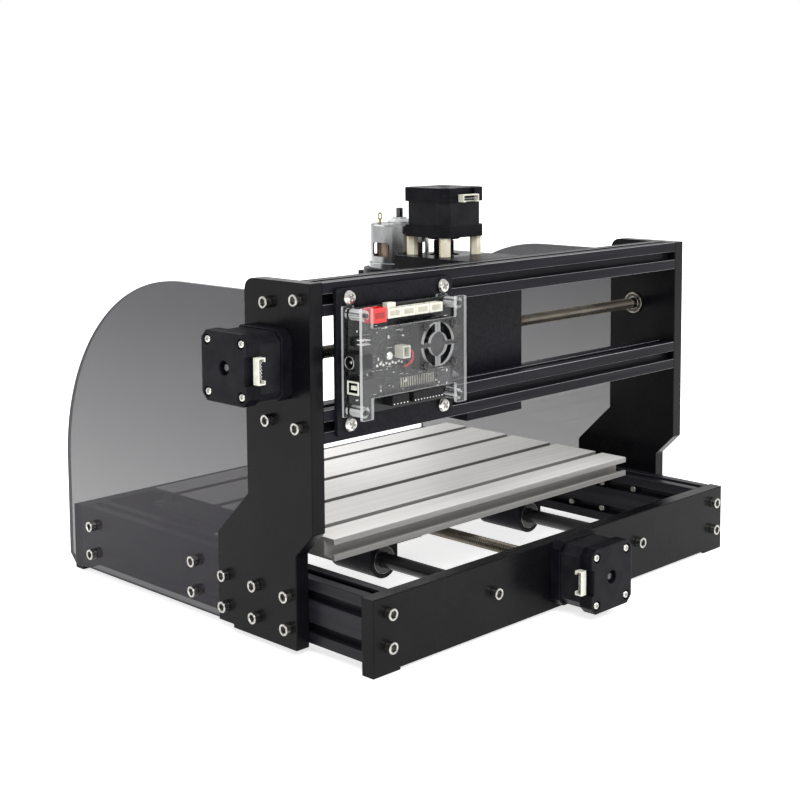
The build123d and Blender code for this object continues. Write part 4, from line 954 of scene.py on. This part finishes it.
def carriage():
    relief = 24.3
    start = degrees(asin((21 - SPINDLE_Y) / relief))
    arc = [polar(relief, start + (180 - 2 * start) * k / 24) for k in range(25)]
    pts = [(28, 62), (-28, 62), (-28, 21)] + [(x, SPINDLE_Y + y) for x, y in reversed(arc)] + [(28, 21)]
    mesh = flat_solid(pts, 9, [circle(0, Z_AXIS_Y, 10.75, 48)], 0.5)
    top = Piece("z_top_plate_body").add(mesh, at(0, 0, 216.2), PLATE)
    top.done("carriage", "phenolic_black", "z_top_plate")
    posts = Piece("z_standoff_set")
    hexagon = rounded(circle(0, 0, 7 / sqrt(3), 6), 0.4, 2)
    post = flat_solid(hexagon, 13.0, [], 0.25)
    for x, y in CORNERS:
        posts.add(post, at(x * BOLT_OFF, Z_AXIS_Y + y * BOLT_OFF, 225.2), IVORY)
    posts.done("carriage", "ivory_nylon", "z_standoffs")
    lead_nut("x_nut_body", aim((-28, X_AXIS_Y, X_SCREW_Z), X_DIR), "carriage", "x_nut")
    lead_nut("z_nut_body", aim((0, Z_AXIS_Y, 207.5), (0, 0, -1)), "spindle_slide", "z_nut")


def can_wall():
    """The can's wall with four vent windows, as a shell."""
    n = 120
    zs = [176.3, 177.1, 190, 205, 222.2, 223.2, 231.2, 232.2, 238, 243.9, 244.8]
    bm = bmesh.new()
    grid = []
    for z in zs:
        r = 20.2 if z in (zs[0], zs[-1]) else 21
        grid.append([bm.verts.new((x, y, z)) for x, y in circle(0, 0, r, n)])
    for k in range(len(zs) - 1):
        for i in range(n):
            turn = ((i + 0.5) * 360 / n - 2) % 90
            near = min(turn, 90 - turn)
            if near < 22.5 and k == 5:
                continue
            if near < 19.6 and k in (4, 6):
                continue
            j = (i + 1) % n
            bm.faces.new((grid[k][i], grid[k][j], grid[k + 1][j], grid[k + 1][i]))
    bmesh.ops.recalc_face_normals(bm, faces=bm.faces)
    bmesh.ops.solidify(bm, geom=bm.faces[:] + bm.edges[:] + bm.verts[:], thickness=1.2)
    return take(bm)


def spindle():
    place = at(0, SPINDLE_Y, 0)
    spindle_can(place)
    terminals(place)
    armature(place)
    chuck(place)


def spindle_can(place):
    piece = Piece("spindle_motor_can")
    piece.add(can_wall(), place, CAN)
    lid = [(3.0, 243.8), (20.4, 243.8), (20.4, 244.7), (19.2, 244.8), (9.2, 244.8)]
    lid += [(9.0, 245.0), (3.4, 245.0), (3.0, 244.9)]
    piece.add(lathe(lid, 56, closed=True), place, CAN)
    boss = [(3.0, 244.6), (8.4, 244.6), (8.4, 246.4), (7.9, 247.0)]
    boss += [(5.4, 248.4), (5.1, 249.3), (3.4, 249.3), (3.0, 248.9)]
    piece.add(lathe(boss, 56, closed=True), place, BOSS)
    piece.add(tube(1.0, 40.4, 6, 0.2), place @ at(0, 0, 176.4), CAN)
    flux_ring = [(21.05, 181.3), (21.4, 181), (22.0, 181), (22.3, 181.3)]
    flux_ring += [(22.3, 217.3), (22.0, 217.7), (21.3, 217.7), (21.05, 217.3)]
    piece.add(lathe(flux_ring, 72, closed=True), place, CAN)
    for turn in (70, 190, 310):
        piece.add(shaft(0.8, 2.6, 0.2, 20), place @ at(*polar(15, turn), 244.5), CAN)
    piece.done("spindle_slide", "can_steel", "spindle_motor")


def terminals(place):
    """Two upright solder tabs with an eye."""
    tabs = Piece("spindle_terminal_set")
    half = [(0.8, 0), (0.8, 2.2), (1.6, 3.6), (1.6, 6.6), (0.8, 8)]
    eye = rounded([(-0.8, 0)] + half + [(-x, y) for x, y in reversed(half[1:])], 0.5, 3)
    slot = rounded(rect(-0.75, 0.75, 3.9, 6.6), 0.7, 4)
    stand = upright(0.4, 14, 244.8)
    for turn in (-45, 135):
        tabs.add(flat_solid(eye, 0.8, [slot], 0.15), place @ spun(turn) @ stand, TERMINAL)
    tabs.done("spindle_slide", "terminal_brass", "spindle_terminals")


def armature(place):
    rotor = Piece("spindle_armature")
    rotor.add(shaft(98, SHAFT_D, 0.5, 32), place @ at(0, 0, 158), SHAFT)
    rotor.add(tube(26, 30, SHAFT_D, 0.5), place @ at(0, 0, 188), SHAFT)
    for k in range(10):
        rotor.add(block(7.5, 16.2, -4.4, 4.4, 214, 236, 1.8), place @ spun(36 * k), COPPER)
    rotor.done("spindle_rotor", "shaft_steel", "spindle_shaft")


def chuck(place):
    """Collet holder on the spindle shaft, and the nut on its end."""
    holder = Piece("collet_holder_body")
    body = [(2.6, 171), (2.6, 158), (0, 158), (0, 155), (1.6, 154.5), (1.6, 117), (2.0, 116.5)]
    body += [(4.6, 116.5), (5.45, 118), (5.45, 130.5), (7.4, 130.5), (8, 131.1)]
    body += [(8, 171.2), (7.2, 172), (3.0, 172)]
    holder.add(lathe(body, 48, closed=True), place, STEEL)
    for z in (162, 168):
        for turn in (0, 180):
            spot = aim((*polar(7.55, turn), z), (*polar(1, turn), 0))
            holder.add(screw_head(3.2, 0.5, 1.6), place @ spot, DARK_SCREW)
    holder.done("spindle_rotor", "chuck_steel", "collet_holder")
    nut = Piece("collet_nut_body")
    collar = [(5.5, 117.9), (8.7, 117.5), (9.5, 118.4), (9.5, 120.8), (8.9, 121.4), (5.5, 121.4)]
    nut.add(lathe(collar, 48, closed=True), place, STEEL)
    hexagon = rounded(circle(0, 0, 17 / sqrt(3), 6), 1.0, 3)
    nut.add(flat_solid(hexagon, 9.3, [circle(0, 0, 5.5, 32)], 0.5), place @ at(0, 0, 121.2), STEEL)
    nut.done("spindle_rotor", "chuck_steel", "collet_nut")


# Controller


FAN_X, FAN_Z = 102.0, 183.3
CASE = (77.3, 166.5, 145.0, 211.0)
BOARD_FACE = 120.2
CASE_FRONT = 130.5


def fan_points():
    return [(FAN_X + x * 12, FAN_Z + z * 12) for x, z in CORNERS]


def case_points():
    x0, x1, z0, z1 = CASE
    t, n = 9.0, 12.5
    pts = [(x0, z0), (x0 + t, z0), (x0 + t, z0 + n), (x1 - t, z0 + n), (x1 - t, z0), (x1, z0)]
    pts += [(x1, z1), (x1 - t, z1), (x1 - t, z1 - n), (x0 + t, z1 - n), (x0 + t, z1), (x0, z1)]
    return rounded(pts, 0.8, 2)


def grille_sectors():
    loops = []
    for quarter in range(4):
        pts = []
        for r, sweep in ((13.5, 1), (7.5, -1)):
            lean = degrees(asin(1.3 / r))
            turns = [quarter * 90 + lean + (90 - 2 * lean) * k / 10 for k in range(11)][::sweep]
            pts += [(FAN_X + x, FAN_Z + z) for x, z in (polar(r, turn) for turn in turns)]
        loops.append(pts)
    return loops


def clear_sheet(piece, y0, thick, holes):
    mesh = flat_solid(case_points(), thick, holes, 0.15, 1)
    first = len(piece.bm.faces)
    piece.add(mesh, upright(y0 + thick), CLEAR)
    if CLEAR_EDGE_HIGHLIGHT not in piece.mats:
        piece.mats.append(CLEAR_EDGE_HIGHLIGHT)
    piece.bm.faces.ensure_lookup_table()
    for face in piece.bm.faces[first:]:
        # Painted highlight: edge faces get the pale clear-edge copy.
        if abs(face.normal.y) < 0.5:
            face.material_index = piece.mats.index(CLEAR_EDGE_HIGHLIGHT)


def controller():
    outline = rounded(rect(71, 170, 133.5, 221.5), 3, 5)
    Piece("controller_plate_body").add(flat_solid(outline, 3, [], 0.3), upright(115), MOULD).done(
        "frame", "phenolic_black", "controller_plate"
    )
    piece = Piece("case_sheet_set")
    clear_sheet(piece, 115, 2.0, [])
    clear_sheet(piece, CASE_FRONT, 2.5, grille_sectors())
    piece.done("frame", "clear_acrylic", "clear_case_plates", smooth=20)
    posts = Piece("spacer_set")
    for x in (CASE[0] + 4.5, CASE[1] - 4.5):
        for z in (CASE[2] + 4.5, CASE[3] - 4.5):
            posts.add(tube(1.8, 7, 3, 0.1), aim((x, 117, z), Y_DIR), POST)
            posts.add(tube(CASE_FRONT - BOARD_FACE, 7, 3, 0.2), aim((x, BOARD_FACE, z), Y_DIR), POST)
            posts.add(shaft(CASE_FRONT + 2.3 - 117, 2.6, 0.3, 20), aim((x, 117, z), Y_DIR), DARK_SCREW)
    for side in SIDES:
        for y in PANEL_SCREW_YS:
            for z in BASE_SCREW_ZS:
                posts.add(tube(2, 10, 5, 0.2), aim((side * PLATE_IN_X, y, z), (side, 0, 0)), DARK_SCREW)
    posts.done("frame", "clear_acrylic", "spacers")
    board = Piece("circuit_board_body")
    outline = rounded(rect(CASE[0] + 1, CASE[1] - 1, CASE[2] + 1, CASE[3] - 1), 1.5, 3)
    board.add(flat_solid(outline, 1.4, [], 0.1, 1), upright(BOARD_FACE), BOARD)
    board_detail(board)
    pin_strip(board, 154.5, 3, 190, 2)
    board.done("frame", "board_black", "circuit_board")
    board_parts()
    fan()


def on_board(x, z):
    return at(x, BOARD_FACE, z)


def bar(w, low, high, h, edge):
    """Block w by h about the Y axis, from y = low to high."""
    return block(-w / 2, w / 2, low, high, -h / 2, h / 2, edge)


def board_detail(board):
    """Small soldered parts, pads and header pins."""
    for _ in range(70):
        x = rng.uniform(80, 160)
        z = rng.uniform(154, 198)
        if hypot(x - FAN_X, z - FAN_Z) < 15:
            continue
        w = rng.choice((0.9, 1.4, 1.8))
        h = w * 0.55
        if rng.random() < 0.5:
            w, h = h, w
        board.add(bar(w, 0, 0.6, h, 0.08), on_board(x, z), rng.choice((TIN, CHIP, SILK)))
    chips = ((143, 166, 9, 9), (118, 168.5, 4, 5), (152, 191, 5, 4), (146, 178, 3.5, 3), (88, 168, 5, 4))
    for x, z, w, h in chips:
        board.add(bar(w, 0, 1.3, h, 0.15), on_board(x, z), CHIP)
        for k in range(int(w)):
            leg_x = -w / 2 + 0.6 + k * (w - 1.2) / max(1, int(w) - 1)
            for side in SIDES:
                board.add(bar(0.36, 0, 0.5, 1.0, 0.05), on_board(x + leg_x, z + side * h / 2), TIN)
    for k in range(9):
        board.add(bar(1.4, 0, 0.7, 1.4, 0.12), on_board(122 + 2.6 * k, 173.5 + 0.8 * (k % 2)), SILK)
    for k in range(15):
        # A row of grey bars, drawn in the socket shade grey.
        board.add(bar(0.9, 0, 0.5, 6, 0.1), on_board(94.5 + 2 * k, 160.7), SHADE)
    for _ in range(26):
        x = rng.uniform(82, 158)
        z = rng.uniform(156, 198)
        w = rng.uniform(2, 6)
        board.add(bar(w, 0, 0.12, 0.24, 0.02), on_board(x, z), SILK)


def pin_strip(board, x0, count, z, rows):
    """Black header strip with short pale pins."""
    pitch = 2.54
    strip = bar(pitch * count, 0, 2.5, pitch * rows, 0.15)
    board.add(strip, on_board(x0 + pitch * count / 2, z), CHIP)
    for k in range(count):
        for row in range(rows):
            spot = on_board(x0 + pitch * (k + 0.5), z + pitch * (row - (rows - 1) / 2))
            board.add(bar(0.64, 2.4, 8.0, 0.64, 0.08), spot, SILK)


def centred(w, h):
    return rect(-w / 2, w / 2, -h / 2, h / 2)


def open_box(piece, where, w, d, h, wall, depth, mat, pins=0):
    """Open-topped box from z = 0 to d, outer size w by h, with its cavity at the top."""
    ring = flat_solid(rounded(centred(w, h), 0.3, 2), d, [centred(w - 2 * wall, h - 2 * wall)], 0.15, 1)
    piece.add(ring, where, mat)
    a, b = w / 2 - wall * 0.9, h / 2 - wall * 0.9
    piece.add(block(-a, a, -b, b, 0.05, d - depth, 0.05), where, mat)
    for k in range(pins):
        x = -w / 2 + w * (k + 0.5) / pins
        piece.add(block(x - 0.32, x + 0.32, -0.32, 0.32, d - depth, d - 0.8, 0.08), where, TIN)


def board_parts():
    piece = Piece("board_part_set")
    face = BOARD_FACE
    middle = face + 5.05
    usb = sideways(150.5, middle, 164.0)
    open_box(piece, usb, 10.1, 16.5, 9.2, 1.4, 8.5, CHIP)
    rim = [centred(7.4, 6.0)]
    face_plate = flat_solid(rounded(centred(10.1, 8.2), 0.4, 2), 1.2, rim, 0.15)
    piece.add(face_plate, usb @ at(0, 0, 15.4), WHITE)
    piece.add(block(-2.4, 2.4, -1.3, 1.3, 8, 15.9, 0.2), usb, WHITE)
    jack = sideways(156, middle + 0.2, 179.3)
    jack_outline = rounded(centred(10.2, 10), 1, 3)
    piece.add(flat_solid(jack_outline, 14, [circle(0, 0, 3.2, 32)], 0.3), jack, FAN)
    piece.add(tube(0.6, 8.2, 6.8, 0.2), jack @ at(0, 0, 13.5), TIN)
    piece.add(shaft(9, 2.0, 0.3, 20), jack @ at(0, 0, 4), TIN)
    for k in range(4):
        x = 91.3 + 11.9 * k
        where = axes((x + 5.75, face + 2.9, 201.9), X_DIR, (0, 0, 1))
        open_box(piece, where, 11.5, 5.8, 5.8, 0.9, 4.6, WHITE, 4)
        # Painted shade: a grey patch across each socket's opening.
        piece.add(block(x + 1.8, x + 9.7, face + 5.7, face + 5.95, 203.4, 206.4, 0.05), at(), SHADE)
    red = axes((148.25, face + 4.4, 200.7), X_DIR, (0, 0, 1))
    open_box(piece, red, 11.5, 8.7, 8.8, 0.9, 6, RED, 2)
    # Painted shade: a dark red patch across the red socket's opening.
    piece.add(block(144.6, 151.9, face + 8.7, face + 9.0, 203.2, 206.8, 0.05), at(), RED_RECESS_SHADE)
    piece.add(block(130.6, 137.6, face, face + 4.4, 207.4, 211.0, 0.3), at(), WHITE)
    white = axes((124.45, face, 180.55), X_DIR, Y_DIR)
    open_box(piece, white, 6.3, 7.5, 7.7, 0.9, 5, WHITE, 2)
    for x, w, pins in ((107, 26, 10), (131, 14, 5)):
        where = axes((x, face + 4.25, 155.5), X_DIR, (0, 0, -1))
        open_box(piece, where, w, 6, 8.5, 0.9, 4.5, FAN, pins)
        for k in range(pins):
            px = x - w / 2 + w * (k + 0.5) / pins
            piece.add(block(px - 0.3, px + 0.3, face + 8.4, face + 8.8, 150.2, 150.9, 0.05), at(), SILK)
    for x in (FAN_X - 13.5, FAN_X, FAN_X + 13.5):
        piece.add(bar(9, 0, 1.0, 9, 0.1), on_board(x, FAN_Z), DARK_SCREW)
        for k in range(5):
            piece.add(bar(0.7, 0.9, 3.0, 8.8, 0.08), on_board(x - 4.2 + 2.1 * k, FAN_Z), DARK_SCREW)
    piece.add(shaft(3.5, 5, 0.6, 32), aim((134.6, face, 178.8), Y_DIR), TIN)
    piece.done("frame", "socket_white", "board_parts")
    leads = Piece("fan_lead_pair")
    for shift in (0.0, 1.5):
        path = [(121.8, 124.6 + shift, 181.6), (119.2, 126.4 + shift, 181.2), (117.6, 126.2, 177 - shift)]
        path += [(118.6 - shift, 124.4, 172.5), (121 - shift, 121.0, 170.2)]
        leads.add(wire(path, 0.42), at(), RED)
    leads.done("frame", "socket_white")


def wire(points, radius):
    curve = bpy.data.curves.new("wire", "CURVE")
    curve.dimensions = "3D"
    curve.bevel_depth = radius
    curve.bevel_resolution = 3
    curve.use_fill_caps = True
    spline = curve.splines.new("NURBS")
    spline.points.add(len(points) - 1)
    for point, p in zip(spline.points, points):
        point.co = (*p, 1)
    spline.order_u = 3
    spline.use_endpoint_u = True
    return curve_mesh(curve)


def fan():
    body = Piece("fan_frame_body")
    outline = [(FAN_X + x, FAN_Z + z) for x, z in rounded(centred(30, 30), 2, 4)]
    holes = [circle(FAN_X, FAN_Z, 14.2, 64)] + [circle(x, z, 1.5, 16) for x, z in fan_points()]
    body.add(flat_solid(outline, 7, holes, 0.3), upright(CASE_FRONT), FAN)
    back = CASE_FRONT - 7
    body.add(shaft(1.2, 14, 0.2), aim((FAN_X, back, FAN_Z), Y_DIR), FAN)
    for turn in (30, 150, 270):
        arm = block(5, 14.4, -1, 1, -1.2, 0, 0.2)
        body.add(arm, upright(back, FAN_X, FAN_Z) @ spun(turn), FAN)
    body.done("frame", "fan_black", "fan_frame")
    rotor = Piece("fan_rotor_body")
    place = axes((FAN_X, back + 1.5, FAN_Z), X_DIR, Y_DIR)
    rotor.add(shaft(4.6, 14, 0.5), place, FAN)
    for k in range(7):
        rotor.add(blade_mesh(), place @ spun(360 * k / 7), FAN)
    rotor.done("fan", "fan_black", "fan_rotor")


def blade_mesh():
    bm = bmesh.new()
    grid = []
    for i in range(7):
        r = 6.8 + 6.4 * i / 6
        row = []
        for j in range(7):
            t = j / 6
            sweep = radians(-16 + 40 * t + 5 * i / 6)
            z = 0.5 + 3.6 * (t**0.8)
            row.append(bm.verts.new((r * cos(sweep), r * sin(sweep), z)))
        grid.append(row)
    for i in range(6):
        for j in range(6):
            bm.faces.new((grid[i][j], grid[i + 1][j], grid[i + 1][j + 1], grid[i][j + 1]))
    bmesh.ops.recalc_face_normals(bm, faces=bm.faces)
    bmesh.ops.solidify(bm, geom=bm.faces[:] + bm.edges[:] + bm.verts[:], thickness=0.6)
    return take(bm)


def end_bearings():
    low, _ = mm_box("screw_bearings")
    piece = Piece("screw_bearing_set")
    spots = (((low[0], X_AXIS_Y, X_SCREW_Z), X_DIR), ((0, low[1], AXIS_Z), Y_DIR))
    for spot, way in spots:
        where = aim(spot, way)
        piece.add(tube(5, 16, 13.4, 0.3), where, RACE)
        piece.add(tube(4.6, 13.4, 10.2, 0.2), where @ at(0, 0, 0.2), DARK_SCREW)
        piece.add(tube(5, 10.2, 8.1, 0.3), where, RACE)
    piece.done("frame", "bearing_steel", "screw_bearings")


def keep(node, mat):
    data = NODES[node].data
    data.materials.clear()
    data.materials.append(mat)


base_frame()
gantry()
side_guards()
rods()
drives()
frame_fasteners()
motor("x", x_motor_place(), "frame")
motor("y", y_motor_place(), "frame")
motor("z", z_motor_place(), "carriage")
sockets()
table()
carriage()
spindle()
controller()
end_bearings()
for kept, finish in (
    ("x_carriage", MOULD), ("spindle_holder", MOULD), ("clamp_screw", DARK_SCREW),
    ("x_bearings", STEEL), ("z_bearings", STEEL),
):
    keep(kept, finish)


# Camera, floor and light


def camera():
    data = bpy.data.cameras.new("camera")
    data.sensor_width = 36.0
    data.lens = 66.143
    data.shift_x, data.shift_y = 0.00543, -0.16436
    data.clip_start, data.clip_end = 0.01, 20
    cam = bpy.data.objects.new("camera", data)
    put(cam)
    turn, tilt, roll = (radians(v) for v in (135.034, 5.950, -0.415))
    back = Vector((sin(turn) * cos(tilt), -cos(turn) * cos(tilt), sin(tilt)))
    right = (-back).cross(Vector(Z_DIR)).normalized()
    up = right.cross(-back)
    c, s = cos(roll), sin(roll)
    facing = Matrix((right * c + up * s, up * c - right * s, back)).transposed().to_4x4()
    cam.matrix_world = Matrix.Translation((0.74469, 0.73943, 0.32167)) @ facing
    bpy.context.scene.camera = cam


def studio():
    bm = bmesh.new()
    bmesh.ops.create_grid(bm, x_segments=1, y_segments=1, size=6)
    mesh = take(bm)
    pale = plain_look(
        "floor_pale", (0.86, 0.86, 0.86), (0.9, 0.9, 0.9), (0.55, 0.65), scale=3, bump=0.0,
        Emission_Color=(1, 1, 1, 1), Emission_Strength=0.7,
    )
    mesh.materials.append(pale)
    floor = bpy.data.objects.new("floor", mesh)
    floor.location.z = -0.0005
    put(floor)
    world = bpy.data.worlds.new("world")
    world.use_nodes = True
    world.node_tree.nodes["Background"].inputs["Color"].default_value = (1, 1, 1, 1)
    world.node_tree.nodes["Background"].inputs["Strength"].default_value = 1.0
    bpy.context.scene.world = world
    lamps = (((0.9, 1.3, 1.6), 1.2, 26), ((-1.4, 0.8, 1.5), 1.2, 14), ((0.2, -1.5, 1.6), 1.4, 14))
    for spot, size, power in lamps:
        data = bpy.data.lights.new("lamp", "AREA")
        data.shape = "DISK"
        data.size = size
        data.energy = power
        lamp = bpy.data.objects.new("lamp", data)
        lamp.location = spot
        lamp.rotation_mode = "QUATERNION"
        lamp.rotation_quaternion = (Vector((0, 0, 0.1)) - Vector(spot)).to_track_quat("-Z", "Y")
        put(lamp)
    bpy.context.scene.view_settings.view_transform = "Standard"


camera()
studio()
